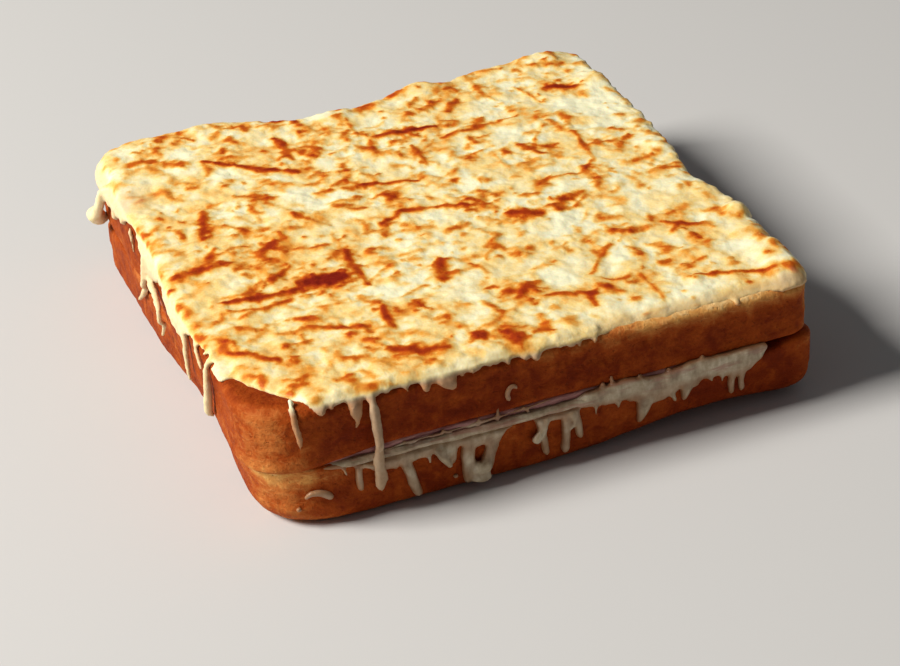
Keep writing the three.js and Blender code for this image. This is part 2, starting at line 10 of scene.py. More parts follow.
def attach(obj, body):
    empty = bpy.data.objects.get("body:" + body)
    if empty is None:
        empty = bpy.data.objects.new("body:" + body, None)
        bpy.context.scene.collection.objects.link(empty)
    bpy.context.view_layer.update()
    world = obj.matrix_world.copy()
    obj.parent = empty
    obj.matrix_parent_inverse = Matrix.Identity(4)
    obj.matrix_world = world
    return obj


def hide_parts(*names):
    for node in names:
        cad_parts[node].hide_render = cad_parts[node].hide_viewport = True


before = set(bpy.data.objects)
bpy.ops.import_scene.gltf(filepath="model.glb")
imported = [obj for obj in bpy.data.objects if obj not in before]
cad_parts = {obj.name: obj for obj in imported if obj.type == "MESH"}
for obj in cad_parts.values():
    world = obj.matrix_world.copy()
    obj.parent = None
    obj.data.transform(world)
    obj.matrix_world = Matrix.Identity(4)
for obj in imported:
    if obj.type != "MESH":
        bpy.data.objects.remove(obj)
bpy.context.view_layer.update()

# Lengths below are in millimetres on the drawing; its zero lies this far from the part's own origin
mm = 0.001
drawingShift = np.array([0.694, 2.696, 0.0])
halfLoaf = 58.0
nearlyOne = 1 - 1e-6

camera = {
    "place": (-133.587, -420.869, 251.148), "azimuth": -18.036, "elevation": 29.965, "roll": -4.294,
    "lens": 96, "sensor": 36, "clip": (0.01, 20),
}


def addObject(name, data):
    holder = bpy.data.objects.new(name, data)
    bpy.context.collection.objects.link(holder)
    return holder


def setCamera():
    data = bpy.data.cameras.new("camera")
    data.lens, data.sensor_width = camera["lens"], camera["sensor"]
    data.clip_start, data.clip_end = camera["clip"]
    view = Matrix.Translation((Vector(camera["place"]) + Vector(drawingShift)) * mm)
    azimuth, elevation, roll = (camera[k] for k in ("azimuth", "elevation", "roll"))
    for turn, axis in ((azimuth, "Z"), (90 - elevation, "X"), (roll, "Z")):
        view = view @ Matrix.Rotation(math.radians(turn), 4, axis)
    holder = addObject("camera", data)
    holder.matrix_world = view
    bpy.context.scene.camera = holder


setCamera()
print("camera set")

# Corners run from the front left round to the back left as (x, y, radius).
# A dent moves the edge near a place: (place, radius, move)
outlines = {
    "lowerFoot": {
        "corners": [(-54.3, -64.2, 15), (57.6, -61.4, 6), (58.4, 58.6, 7), (-57.1, 58.8, 9)],
        "dents": [((-57, -18), 40, (2.3, 0)), ((36, -61.5), 32, (0, 1.2)),
                  ((-6, 58.5), 27, (0, -3.5))],
    },
    "lowerCrown": {
        "corners": [(-56, -64.1, 14), (57.6, -62.1, 6), (58.4, 59.2, 7), (-57, 59.2, 9)],
        "dents": [((-57.5, -18), 40, (1.9, 0)), ((-6, 59), 27, (0, -4))],
    },
    "upper": {
        "corners": [(-57.2, -64.2, 14), (57, -62.1, 5), (58, 60.6, 5), (-57, 60.2, 11)],
        "dents": [((-11, 60), 20, (0, -4.6)), ((8, 60), 44, (0, -4)), ((57, -8), 25, (-1.8, 0)),
                  ((-59, 10), 23, (1.2, 0))],
    },
    "ham": {
        "corners": [(-56, -64.2, 13), (56.4, -61.6, 26), (56.4, 58.2, 8), (-55.6, 58.2, 10)],
        "dents": [((-4, 58.5), 36, (0, -5.6))],
    },
    "cheese": {
        "corners": [(-55, -64.9, 22), (58.2, -63.1, 28), (59.2, 59.6, 8), (-55.6, 58.6, 10)],
        "dents": [((-4, 59.5), 36, (0, -4.6))],
    },
}
outlines["gratin"] = {
    "corners": [(-57.2, -64.2, 14), (57.3, -62, 6), (58, 60.6, 5), (-56.8, 60.2, 11)],
    "dents": outlines["upper"]["dents"] + [
        ((-56, -60), 20, (4.2, 4.8)), ((-58, -42), 15, (2.2, 0)), ((-57, 46), 20, (1.2, 0)),
        ((2, 57), 16, (0, -2.4)), ((24, 60), 8, (0, -2.4)), ((57, -12), 14, (-1.2, 0)),
        ((58, 6), 8, (-0.8, 0)),
    ],
}
# Where the slices are pinched together: place, radius, rise of the lower one, drop of the upper one
pinches = [((-53, -59), 30, 2, 2.2), ((56, -61), 17, 2.7, 0), ((-62, 22), 42, 1.4, 1.6)]
lift = {"at": (36, -62), "radius": 40, "height": 2.2}


def nearness(x, y, at, radius):
    share = ((x - at[0]) ** 2 + (y - at[1]) ** 2) / radius**2
    return np.clip(1 - share, 0, None) ** 3


def smooth(low, high, value):
    share = np.clip((value - low) / (high - low), 0, 1)
    return share * share * (3 - 2 * share)


def distancesAlong(line):
    return np.concatenate([[0], np.cumsum(np.linalg.norm(np.diff(line, axis=0), axis=1))])


def resampled(line, places, at):
    # the points of a line at other places along it
    return np.stack([np.interp(at, places, side) for side in line.T], 1)


def outlineTable(outline, steps=400, cornerSteps=33):
    # four sides of evenly spaced points, each from the middle of a corner to that of the next
    corners = [np.array(c[:2], float) for c in outline["corners"]]
    curve = np.linspace(0, 1, cornerSteps)[:, None]
    arriving, leaving = [], []
    for i, corner in enumerate(corners):
        before, after = corners[i - 1] - corner, corners[(i + 1) % 4] - corner
        radius = outline["corners"][i][2]
        start = corner + before * radius / np.linalg.norm(before)
        end = corner + after * radius / np.linalg.norm(after)
        middle = (start + end + 2 * corner) / 4
        for a, b, c, made in ((start, (start + corner) / 2, middle, arriving),
                              (middle, (corner + end) / 2, end, leaving)):
            made.append(a * (1 - curve) ** 2 + 2 * b * curve * (1 - curve) + c * curve**2)
    table = []
    for i in range(4):
        line = np.vstack([leaving[i], arriving[(i + 1) % 4]])
        along = distancesAlong(line)
        side = resampled(line, along, np.linspace(0, along[-1], steps + 1))
        for at, radius, move in outline["dents"]:
            side = side + nearness(*side.T, at, radius)[:, None] * np.array(move)
        table.append(side)
    return np.array(table)


tables = {name: outlineTable(outline) for name, outline in outlines.items()}


def outlineAt(table, turn):
    turn = np.mod(turn, 4)
    side = np.minimum(turn.astype(int), 3)
    place = (turn - side) * (table.shape[1] - 1)
    step = np.minimum(place.astype(int), table.shape[1] - 2)
    share = (place - step)[:, None]
    return table[side, step] * (1 - share) + table[side, step + 1] * share


layers = {
    "lower": {"bottom": 0, "top": 12, "outlines": ("lowerFoot", "lowerCrown"),
              "lowRim": (3, 3.6), "highRim": (1, 1.2)},
    "upper": {"bottom": 14.7, "top": 26, "outlines": ("upper", "upper"),
              "lowRim": (1, 1.2), "highRim": (2.2, 2)},
    "ham": {"bottom": 13.2, "top": 14.8, "outlines": ("ham", "ham"),
            "lowRim": (0.5, 0.5), "highRim": (0.5, 0.5)},
    "cheese": {"bottom": 11.9, "top": 13.4, "outlines": ("cheese", "cheese"),
               "lowRim": (0.5, 0.5), "highRim": (0.5, 0.5)},
}


def shareOfHeight(layer, z):
    return np.clip((z - layer["bottom"]) / (layer["top"] - layer["bottom"]), 0, 1)


def edgeAt(layer, turn, z):
    share = shareOfHeight(layer, z)[:, None]
    foot, crown = (outlineAt(tables[name], turn) for name in layer["outlines"])
    return foot * (1 - share) + crown * share


def rimDrop(distance, reach, drop):
    # how far a rounded rim has drawn in, at a distance from its outer edge
    share = np.clip(1 - distance / reach, 0, 1)
    return drop * (1 - np.sqrt(1 - share**2))


def insetAt(layer, z):
    (lowWidth, lowHeight), (highWidth, highHeight) = layer["lowRim"], layer["highRim"]
    low = rimDrop(z - layer["bottom"], lowHeight, lowWidth)
    return low + rimDrop(layer["top"] - z, highHeight, highWidth)


def easeTurn(turn):
    return turn - 0.5 * np.sin(2 * np.pi * turn) / (2 * np.pi)


def squareTurn(u, v):
    # where a point of the box's square lies: the way round, in sides, and the way out, from 0 to 1
    ring = np.maximum(np.maximum(np.abs(u), np.abs(v)), 1e-9)
    across, deep = u / ring, v / ring
    turn = 3 + easeTurn((1 - deep) / 2)
    turn = np.where(deep >= nearlyOne, 2 + easeTurn((1 - across) / 2), turn)
    turn = np.where(across >= nearlyOne, 1 + easeTurn((deep + 1) / 2), turn)
    return np.where(deep <= -nearlyOne, easeTurn((across + 1) / 2), turn), ring


def noiseAt(*parts):
    # smooth unevenness from about -1 to 1; each part is one number or a number for every point
    return np.array([noise.noise(Vector(p)) for p in zip(*np.broadcast_arrays(*parts))])


def field(points, scale, seed=0.0):
    return noiseAt(*(points * (np.array(scale, float) * np.ones(3)) + seed).T)


def unit(vectors):
    return vectors / np.linalg.norm(vectors, axis=1)[:, None]


def pointsOf(mesh, kind="co"):
    flat = np.empty(len(mesh.vertices) * 3, np.float32)
    mesh.vertices.foreach_get(kind, flat)
    return flat.reshape(-1, 3).astype(float)


def movePoints(mesh, points):
    mesh.vertices.foreach_set("co", points.astype(np.float32).ravel())
    mesh.update()
    return mesh


def meshFrom(bm, name):
    mesh = bpy.data.meshes.new(name)
    bm.to_mesh(mesh)
    bm.free()
    return mesh


def griddedBox(name, columns, deep, rows):
    # a closed box from -1 to 1 with its faces divided: columns along x, deep along y, rows along z
    bm = bmesh.new()
    bmesh.ops.create_cube(bm, size=2)
    for axis, count in enumerate((columns, deep, rows)):
        if count > 1:
            edges = [e for e in bm.edges if abs(e.verts[0].co[axis] - e.verts[1].co[axis]) > 1.5]
            bmesh.ops.subdivide_edges(bm, edges=edges, cuts=count - 1, use_grid_fill=True)
    bmesh.ops.recalc_face_normals(bm, faces=bm.faces)
    return meshFrom(bm, name)


def layerMesh(name, layer, cells, rows, relief, warp=None, crowding=1.6):
    # a gridded box squared to a layer's outlines, with rounded rims
    mesh = griddedBox(name, cells, cells, rows)
    u, v, w = pointsOf(mesh).T
    turn, ring = squareTurn(u, v)
    distance = halfLoaf * (1 - ring) ** crowding
    wallLow, wallHigh = layer["bottom"] + layer["lowRim"][1], layer["top"] - layer["highRim"][1]
    z = wallLow + (w + 1) / 2 * (wallHigh - wallLow)
    z = np.where(w > nearlyOne, layer["top"] - rimDrop(distance, *layer["highRim"]), z)
    z = np.where(w < -nearlyOne, layer["bottom"] + rimDrop(distance, *layer["lowRim"]), z)
    edge = edgeAt(layer, turn, z)
    scale = 1 - distance / halfLoaf
    points = np.column_stack([edge * scale[:, None], z])
    nearEdge = smooth(0.8, 1, scale)
    bump = relief(points) * nearEdge
    points[:, :2] += unit(edge) * bump[:, None]
    if warp:
        points[:, 2] += warp(points, shareOfHeight(layer, z), nearEdge)
    return movePoints(mesh, points)


# A wall is a side of the outline and the axis that runs along it
walls = {"front": (0, 0), "right": (1, 1), "back": (2, 0), "left": (3, 1)}


def wallPoint(layer, wall, along, z):
    # points on a wall, with the directions along it and out of it
    side, axis = walls[wall]
    mean = sum(tables[name][side] for name in layer["outlines"]) / 2
    place = np.linspace(0, 1, len(mean))
    order = np.argsort(mean[:, axis])
    turn = side + np.interp(along, mean[order, axis], place[order])
    step = 0.004
    tangent = unit(edgeAt(layer, turn + step, z) - edgeAt(layer, turn - step, z))
    outward = np.column_stack([tangent[:, 1], -tangent[:, 0]])
    point = edgeAt(layer, turn, z) - outward * insetAt(layer, z)[:, None]
    return point, tangent, outward


def ballMesh(segments, length):
    # a ball, with each point's share of the way down it and angle round it
    bm = bmesh.new()
    rings = int(max(14, length * 2.2))
    bmesh.ops.create_uvsphere(bm, u_segments=segments, v_segments=rings, radius=1)
    mesh = meshFrom(bm, "ball")
    x, y, z = pointsOf(mesh).T
    return mesh, np.arccos(np.clip(z, -1, 1)) / np.pi, np.arctan2(y, x)


def fullnessAt(share, bluntness):
    return np.sqrt(np.clip(1 - np.abs(2 * share - 1) ** bluntness, 0, 1))


def runMesh(layer, wall, start, end, high, low, widths, out=(0, 0), depth=1.1, waist=1.0, bulb=0.0):
    # a ball stretched down a wall, wide where it leaves the cheese and narrow at its tip
    mesh, share, around = ballMesh(14, high - low)
    fullness = fullnessAt(share, 2.4 if max(widths) > 3 else 5)
    z = high + (low - high) * share
    waver = 0.3 * noiseAt(start * 1.7, z * 0.35, 4.2)
    along = start + (end - start) * share + waver * smooth(0, 0.3, share)
    narrowing = 1 - (1 - waist) * np.sin(np.pi * share) ** 2
    tip = 1 + bulb * np.exp(-(((share - 0.88) / 0.09) ** 2))
    halfWidth = (widths[0] + (widths[1] - widths[0]) * share) / 2 * narrowing * tip
    point, tangent, outward = wallPoint(layer, wall, along, z)
    away = 0.25 + out[0] + (out[1] - out[0]) * np.minimum(1, 2 * share)
    point += tangent * (np.cos(around) * halfWidth * fullness)[:, None]
    point += outward * (away + np.sin(around) * np.minimum(halfWidth, depth) * fullness)[:, None]
    return movePoints(mesh, np.column_stack([point, z]))


def strandMesh(layer, wall, path, widths, out=0.3, depth=0.9):
    # a string of cheese that follows (along, height) points on a wall
    path = np.array(path, float)
    lengths = distancesAlong(path)
    mesh, share, around = ballMesh(12, lengths[-1])
    fine = np.linspace(0, lengths[-1], 60)
    course = resampled(path, lengths, fine)
    for _ in range(30):
        course[1:-1] = (course[:-2] + 2 * course[1:-1] + course[2:]) / 4
    lines = np.hstack([course, unit(np.gradient(course, axis=0))])
    along, z, over, down = resampled(lines, fine, share * lengths[-1]).T
    fullness = fullnessAt(share, 5)
    half = (widths[0] + (widths[1] - widths[0]) * share) / 2 * fullness
    point, tangent, outward = wallPoint(layer, wall, along, z)
    down = down * np.sign(tangent[:, walls[wall][1]])
    away = np.interp(share, (0, 1), np.ones(2) * out)
    point -= tangent * (np.cos(around) * half * down)[:, None]
    point += outward * (away + np.sin(around) * np.minimum(half, depth * fullness))[:, None]
    return movePoints(mesh, np.column_stack([point, z + np.cos(around) * half * over]))


def curtainMesh(layer, wall, points, depth, ragged=0.35, root=2.0):
    # a sheet down a wall between two wandering edges, thin at the lower one
    table = np.array(sorted(points), float)
    mesh = griddedBox("curtain", (len(table) - 1) * 7, 1, 12)
    box = pointsOf(mesh)
    place = (box[:, 0] + 1) / 2 * (len(table) - 1)
    step = np.minimum(place.astype(int), len(table) - 2)
    share = place - step
    ease = smooth(0, 1, share)[:, None]
    along = table[step, 0] * (1 - share) + table[step + 1, 0] * share
    high, low = (table[step, 1:] * (1 - ease) + table[step + 1, 1:] * ease).T
    low = low + ragged * (noiseAt(along * 0.8, 3.1, 0) + 0.6 * noiseAt(along * 2.1, 7.7, 0))
    down = (1 - box[:, 2]) / 2
    z = high + (low - high) * down
    point, tangent, outward = wallPoint(layer, wall, along, z)
    overhang = insetAt(layer, z) * smooth(layer["top"] + 1.2, layer["top"] + 2.6, high)
    swell = 1 + 0.5 * noiseAt(along * 0.35, z * 0.25, 1.5)
    away = 0.6 + overhang + (depth - 0.3) * np.sqrt(np.clip(1 - down**3, 0, 1)) * swell
    away = np.where(box[:, 1] < 0, -root, away)
    return movePoints(mesh, np.column_stack([point + outward * away[:, None], z]))


def bakedMesh(holder):
    # an object's mesh with its modifiers applied, in place of the object
    graph = bpy.context.evaluated_depsgraph_get()
    made = bpy.data.meshes.new_from_object(holder.evaluated_get(graph))
    made.name = holder.name
    bpy.data.objects.remove(holder)
    return made


def fusedMesh(name, parts, voxel, smoothing):
    # parts that run into each other become one skin
    bm = bmesh.new()
    for part in parts:
        bm.from_mesh(part)
        bpy.data.meshes.remove(part)
    bmesh.ops.recalc_face_normals(bm, faces=bm.faces)
    holder = addObject(name, meshFrom(bm, name))
    remesh = holder.modifiers.new("fuse", "REMESH")
    remesh.mode, remesh.voxel_size = "VOXEL", voxel
    soften = holder.modifiers.new("soften", "SMOOTH")
    soften.factor, soften.iterations = 0.5, smoothing
    return bakedMesh(holder)


def thinnedMesh(mesh, triangles, spare):
    # fewer triangles, taken from where the spare points are
    mesh.calc_loop_triangles()
    holder = addObject(mesh.name, mesh)
    thin = holder.modifiers.new("thin", "DECIMATE")
    thin.ratio = triangles / len(mesh.loop_triangles)
    group = holder.vertex_groups.new(name="spare")
    group.add(np.nonzero(spare)[0].tolist(), 1.0, "REPLACE")
    thin.vertex_group, thin.vertex_group_factor = group.name, 1.0
    return bakedMesh(holder)


def setAttribute(mesh, name, values):
    mesh.attributes.new(name, "FLOAT", "POINT").data.foreach_set("value", values.astype(np.float32))


def piece(name, mesh, material, slot, *nodes):
    # puts a finished mesh in place, in metres, and gives it to the object
    movePoints(mesh, (pointsOf(mesh) + drawingShift) * mm)
    mesh.shade_smooth()
    mesh.materials.append(material)
    holder = addObject(name, mesh)
    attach(holder, "root")
    if nodes:
        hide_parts(*nodes)
    print(name, "has", sum(len(p.vertices) - 2 for p in mesh.polygons), "triangles")


class Value:
    # a socket that can stand in a sum

    def __init__(self, finish, socket):
        self.finish, self.socket = finish, socket

    def math(self, operation, other):
        return self.finish.add("Math", {"operation": operation}, {0: self, 1: other})

    def __add__(self, other):
        return self.math("ADD", other)

    def __sub__(self, other):
        return self.math("SUBTRACT", other)

    def __mul__(self, other):
        return self.math("MULTIPLY", other)

    def __truediv__(self, other):
        return self.math("DIVIDE", other)

    __radd__ = __add__


class Finish:
    # a material whose nodes are added one by one, each by its kind, settings and inputs

    def __init__(self, name):
        self.material = bpy.data.materials.new(name)
        self.material.use_nodes = True
        self.tree = self.material.node_tree
        self.tree.nodes.clear()
        self.place = self.add("TexCoord", out="Object")

    def add(self, kind, settings=None, inputs=None, out=0):
        node = self.tree.nodes.new("ShaderNode" + kind)
        for key, value in (settings or {}).items():
            if key == "stops":
                while len(node.color_ramp.elements) < len(value):
                    node.color_ramp.elements.new(0.5)
                for element, (position, colour) in zip(node.color_ramp.elements, value):
                    element.position, element.color = position, (*colour, 1)
            else:
                setattr(node, key, value)
        for key, value in (inputs or {}).items():
            if isinstance(value, Value):
                self.tree.links.new(value.socket, node.inputs[key])
            elif isinstance(value, tuple) and len(value) == 3 and node.inputs[key].type == "RGBA":
                node.inputs[key].default_value = (*value, 1)
            else:
                node.inputs[key].default_value = value
        return Value(self, node.outputs[out]) if len(node.outputs) else node

    def grain(self, size, detail=3.0, rough=0.6, stretch=(1, 1, 1), distort=0.0):
        # noise from 0 to 1 whose lumps measure about size millimetres
        scale = tuple(1 / (size * mm * s) for s in stretch)
        place = self.add("Mapping", None, {"Vector": self.place, "Scale": scale})
        inputs = {"Vector": place, "Scale": 1.0, "Detail": detail, "Roughness": rough}
        return self.add("TexNoise", None, {**inputs, "Distortion": distort})

    def ramp(self, value, stops):
        return self.add("ValToRGB", {"stops": stops}, {"Fac": value})

    def step(self, value, low, high):
        return self.add("MapRange", {"interpolation_type": "SMOOTHSTEP"},
                        {"Value": value, "From Min": low, "From Max": high})

    def mixed(self, share, first, second):
        sockets = {0: share, 6: first, 7: second}
        return self.add("Mix", {"data_type": "RGBA"}, sockets, out=2)

    def bump(self, height, distance, strength, after=None):
        inputs = {"Height": height, "Distance": distance * mm, "Strength": strength}
        if after:
            inputs["Normal"] = after
        return self.add("Bump", None, inputs)

    def attribute(self, name):
        return self.add("Attribute", {"attribute_name": name}, out="Fac")

    def surface(self, **constants):
        inputs = {key.replace("_", " "): value for key, value in constants.items()}
        shader = self.add("BsdfPrincipled", {"subsurface_method": "RANDOM_WALK"}, inputs)
        self.add("OutputMaterial", None, {"Surface": shader})
        return self.material


def crustFinish(name, look):
    # baked crust: mottled brown after its tone attribute, which holds the crust's baking together
    # with painted light and shade, with fine wrinkles, fibres and pores
    f = Finish(name)
    bake = f.attribute("bake")
    patch = f.grain(5, distort=0.5)
    mottle = f.grain(1.7, distort=0.6)
    fine = f.grain(0.6)
    fibre = f.grain(0.9, 4, stretch=(3.4, 3.4, 0.8), distort=1.2)
    tone = bake + (patch - 0.5) * look["patch"] + (mottle - 0.5) * look["mottle"]
    tone = tone + (fine - 0.5) * look["fine"]
    colour = f.ramp(tone, look["stops"])
    streaks = f.step(fibre, 0.54, 0.7) * f.step(bake, 0.36, 0.7)
    colour = f.mixed(streaks * look["streak"], colour, look["streakColour"])
    pores = f.step(f.grain(0.8, 2, 0.5), 0.63, 0.75)
    colour = f.mixed(pores * 0.4, colour, look["poreColour"])
    roughness = 0.64 + (patch - 0.5) * 0.3
    normal = f.bump(mottle + fibre * 0.5, 0.5, 0.6)
    normal = f.bump(fine - pores * 0.8, 0.2, 0.6, normal)
    return f.surface(Base_Color=colour, Roughness=roughness, Normal=normal, Specular_IOR_Level=0.06)


def gratinFinish(name, look):
    # grilled cheese: cream, gold and brown after its "browning" attribute
    f = Finish(name)
    browning, run = f.attribute("browning"), f.attribute("run")
    cloud = f.grain(4, 3, 0.55)
    fleck = f.grain(1.2, 4, 0.65, distort=0.4)
    fine = f.grain(0.5)
    browned = browning + (fleck - 0.5) * look["fleck"] + (fine - 0.5) * look["fine"]
    colour = f.ramp(browned, look["brown"])
    # runs down the front wall take darker, warmer colours: painted shade for the shaded front
    colour = f.mixed(run, colour, f.ramp(cloud * 0.6 + fleck * 0.4, look["run"]))
    # tan: the left skirt and the bare front right a little tan, and a patch at the back left as
    # painted shade
    colour = f.mixed(f.attribute("tan"), colour, look["tan"])
    colour = f.mixed(f.attribute("thin") * 0.85, colour, look["thin"])
    roughness = 0.42 + (fleck - 0.5) * 0.24 + f.step(browned, 0.4, 0.8) * 0.2
    normal = f.bump(cloud + fleck * 0.4, 0.5, 0.3)
    normal = f.bump(fine * 0.4 + browned * 0.8, 0.25, 0.4, normal)
    return f.surface(
        Base_Color=colour, Roughness=roughness, Normal=normal, Specular_IOR_Level=0.16,
        Subsurface_Weight=0.1, Subsurface_Radius=(1, 0.6, 0.3), Subsurface_Scale=0.0012)


def meltFinish(name, look):
    # smooth melted cheese: a little translucent, drawn out downwards, with an oily sheen; its
    # colours lie well below the cheese's own cream, as painted shade for the shaded front between
    # the slices
    f = Finish(name)
    cloud = f.grain(3, 3, 0.55)
    fine = f.grain(0.7)
    pull = f.grain(1.2, 3, 0.55, stretch=(1, 1, 3))
    colour = f.ramp(cloud * 0.6 + pull * 0.4 + (fine - 0.5) * 0.15, look["stops"])
    juice = f.step(f.grain(1.8, stretch=(4, 4, 0.5)), 0.48, 0.64)
    height = f.add("SeparateXYZ", None, {"Vector": f.place}, out="Z") / mm
    juice = juice * f.step(height, *look["juiceFrom"])
    colour = f.mixed(juice * 0.65, colour, look["juice"])
    colour = f.mixed(f.attribute("thin") * 0.85, colour, look["thin"])
    roughness = 0.34 + (fine - 0.5) * 0.25
    normal = f.bump(pull + fine * 0.4, 0.35, 0.5)
    return f.surface(
        Base_Color=colour, Roughness=roughness, Normal=normal, Specular_IOR_Level=0.45,
        Subsurface_Weight=0.1, Subsurface_Radius=(1, 0.7, 0.4), Subsurface_Scale=0.0015)


def hamFinish(name, look):
    # moist cooked ham with a horizontal grain
    f = Finish(name)
    cloud = f.grain(5)
    grain = f.grain(1.2, stretch=(4, 4, 0.5))
    colour = f.ramp(cloud * 0.55 + grain * 0.45, look["stops"])
    normal = f.bump(grain, 0.3, 0.6)
    roughness = 0.38 + (grain - 0.5) * 0.3
    return f.surface(
        Base_Color=colour, Roughness=roughness, Normal=normal, Specular_IOR_Level=0.45,
        Subsurface_Weight=0.1, Subsurface_Radius=(1, 0.4, 0.25), Subsurface_Scale=0.0015)


crustLook = {
    "patch": 0.62, "mottle": 0.3, "fine": 0.2, "streak": 0.5, "streakColour": (0.84, 0.42, 0.14),
    "stops": [(0, (0.12, 0.009, 0.001)), (0.22, (0.21, 0.024, 0.002)), (0.42, (0.37, 0.064, 0.007)),
              (0.62, (0.55, 0.17, 0.036)), (0.8, (0.75, 0.36, 0.095)), (1, (0.90, 0.64, 0.29))],
    "poreColour": (0.12, 0.02, 0.004),
}
gratinLook = {
    "fleck": 0.2, "fine": 0.16,
    "brown": [(0, (0.95, 0.91, 0.61)), (0.25, (0.93, 0.675, 0.25)), (0.45, (0.83, 0.37, 0.055)),
              (0.62, (0.62, 0.135, 0.006)), (0.8, (0.40, 0.04, 0.001)), (1, (0.2, 0.008, 0.001))],
    # darker colours for the runs on the front wall: painted shade
    "run": [(0.3, (0.35, 0.21, 0.12)), (0.5, (0.49, 0.325, 0.195)), (0.7, (0.60, 0.45, 0.29))],
    "thin": (0.48, 0.21, 0.08), "tan": (0.64, 0.42, 0.235),
}
# The melted cheese's colours are darker than its own cream: painted shade for the front between the
# slices
meltLook = {
    "stops": [(0.34, (0.25, 0.165, 0.09)), (0.5, (0.45, 0.345, 0.215)), (0.66, (0.66, 0.56, 0.39))],
    "juice": (0.42, 0.19, 0.13), "juiceFrom": (11.2, 12.4), "thin": (0.34, 0.14, 0.05),
}
hamLook = {
    "stops": [(0.32, (0.24, 0.07, 0.065)), (0.5, (0.44, 0.18, 0.16)), (0.68, (0.64, 0.38, 0.31))],
}

crust = crustFinish("breadCrust", crustLook)
gratin = gratinFinish("gratin", gratinLook)
melt = meltFinish("meltedCheese", meltLook)
ham = hamFinish("cookedHam", hamLook)
print("finishes made")

# Crust tone is 0 for the darkest crust and 1 for the palest. It holds the crust's own baking, such
# as the golden top edge,
# and painted light and shade: the low base and the darker spots on the front wall are painted
# shade, and the lighter spots on the left wall, round the front left corner and along the crease
# there are painted light. Spots are (place, reach, change)
slices = {"cells": 150, "rows": 22, "relief": 0.3, "wrinkle": 0.14, "grit": 0.07}
lowerSlice = {
    "bake": 0.31, "spots": [
        ((-61, -10, 6), (6, 200, 40), 0.08), ((-54, -62, 6), (10, 9, 40), 0.22),
        ((-47, -66, 11), (12, 16, 1.6), 0.16), ((60, 0, 6), (5, 200, 40), 0.12),
        ((56, -62, 8), (4, 8, 12), 0.1), ((0, 64, 6), (200, 8, 40), 0.2),
        ((0, 0, 0), (200, 200, 1), 0.24), ((-20, -64, 6), (16, 8, 12), -0.04),
        ((0, 0, 12.4), (52, 56, 3), 0.4), ((-55, -61, 12.8), (8, 8, 1.4), 0.16),
        ((48, -64, 7), (16, 8, 9), -0.14),
    ],
    "swells": [((58, -61, 8.5), (7, 7, 5), 1.2), ((-56, -58, 12.6), (16, 18, 1.6), 1.1)],
}
upperSlice = {
    "bake": 0.28, "spots": [
        ((-61, -10, 18), (6, 200, 40), 0.08), ((-55, -62, 18), (10, 9, 40), 0.24),
        ((60, 0, 18), (5, 200, 40), 0.14), ((0, 64, 18), (200, 8, 40), 0.2),
        ((40, -63, 26.8), (34, 8, 3.3), 0.7), ((57.5, -62, 21), (1.6, 8, 12), 0.3),
        ((-6, -64, 17), (34, 8, 3), -0.1), ((46, -63, 16), (24, 8, 5), 0.04),
        ((-51, -57, 26.4), (7, 7, 2), -0.14), ((0, 0, 14), (52, 56, 3), 0.4),
    ],
    "swells": [((58, -61, 17), (7, 7, 8), -0.3), ((-56, -58, 13.8), (16, 18, 1.3), 0.8)],
}


def spotsAt(points, base, spots):
    made = np.full(len(points), base)
    for place, reach, change in spots:
        away = (((points - place) / reach) ** 2).sum(axis=1)
        made += change * np.exp(-away)
    return made


def crustRelief(points):
    broad = field(points, (0.16, 0.16, 0.3), 3.0)
    wrinkle = field(points, (0.5, 0.5, 0.8), 9.0)
    grit = field(points, 1.3, 4.0)
    return slices["relief"] * broad + slices["wrinkle"] * wrinkle + slices["grit"] * grit


def pinchAt(points, column):
    return sum(pinch[column] * nearness(*points.T[:2], *pinch[:2]) for pinch in pinches)


def lowerWarp(points, share, nearEdge):
    lifted = lift["height"] * nearness(*points.T[:2], lift["at"], lift["radius"])
    return pinchAt(points, 2) * share + lifted * nearEdge * (1 - share)


def upperWarp(points, share, nearEdge):
    return -pinchAt(points, 3) * (1 - share)


skins = []
for name, look, warp, node in (("lower", lowerSlice, lowerWarp, "bread_bottom"),
                               ("upper", upperSlice, upperWarp, "bread_top")):
    bread = layerMesh(name + "Bread", layers[name], slices["cells"], slices["rows"],
                      lambda p: crustRelief(p) + spotsAt(p, 0.0, look["swells"]), warp)
    # the crust tone: its baking, with painted light and painted shade from the spots
    setAttribute(bread, "bake", spotsAt(pointsOf(bread), look["bake"], look["spots"]))
    faces = [tuple(p.vertices) for p in bread.polygons]
    skins.append(BVHTree.FromPolygons(pointsOf(bread).tolist(), faces))
    piece(name + "Bread", bread, crust, name + "_crust", node)


def thinness(points, thin=0.4, thick=1.7):
    # 1 where cheese hardly stands off the bread, 0 where it is thick. The thick end lies far out,
    # so that much of the cheese darkens: partly crust showing through thin cheese, partly painted
    # shade
    away = [min(skin.find_nearest(Vector(p), 2.0)[3] or 2.0 for skin in skins) for p in points]
    return smooth(thick, thin, np.array(away))


hamSlice = {"cells": 150, "rows": 5, "wave": 0.8}
hamMesh = layerMesh("hamSlice", layers["ham"], hamSlice["cells"], hamSlice["rows"],
                    lambda p: hamSlice["wave"] * field(p, (0.12, 0.12, 0.05), 5.0)
                    + 0.3 * field(p, (0.6, 0.6, 0.6), 2.0), crowding=1.3)
piece("hamSlice", hamMesh, ham, "ham", "ham")
print("slices made")

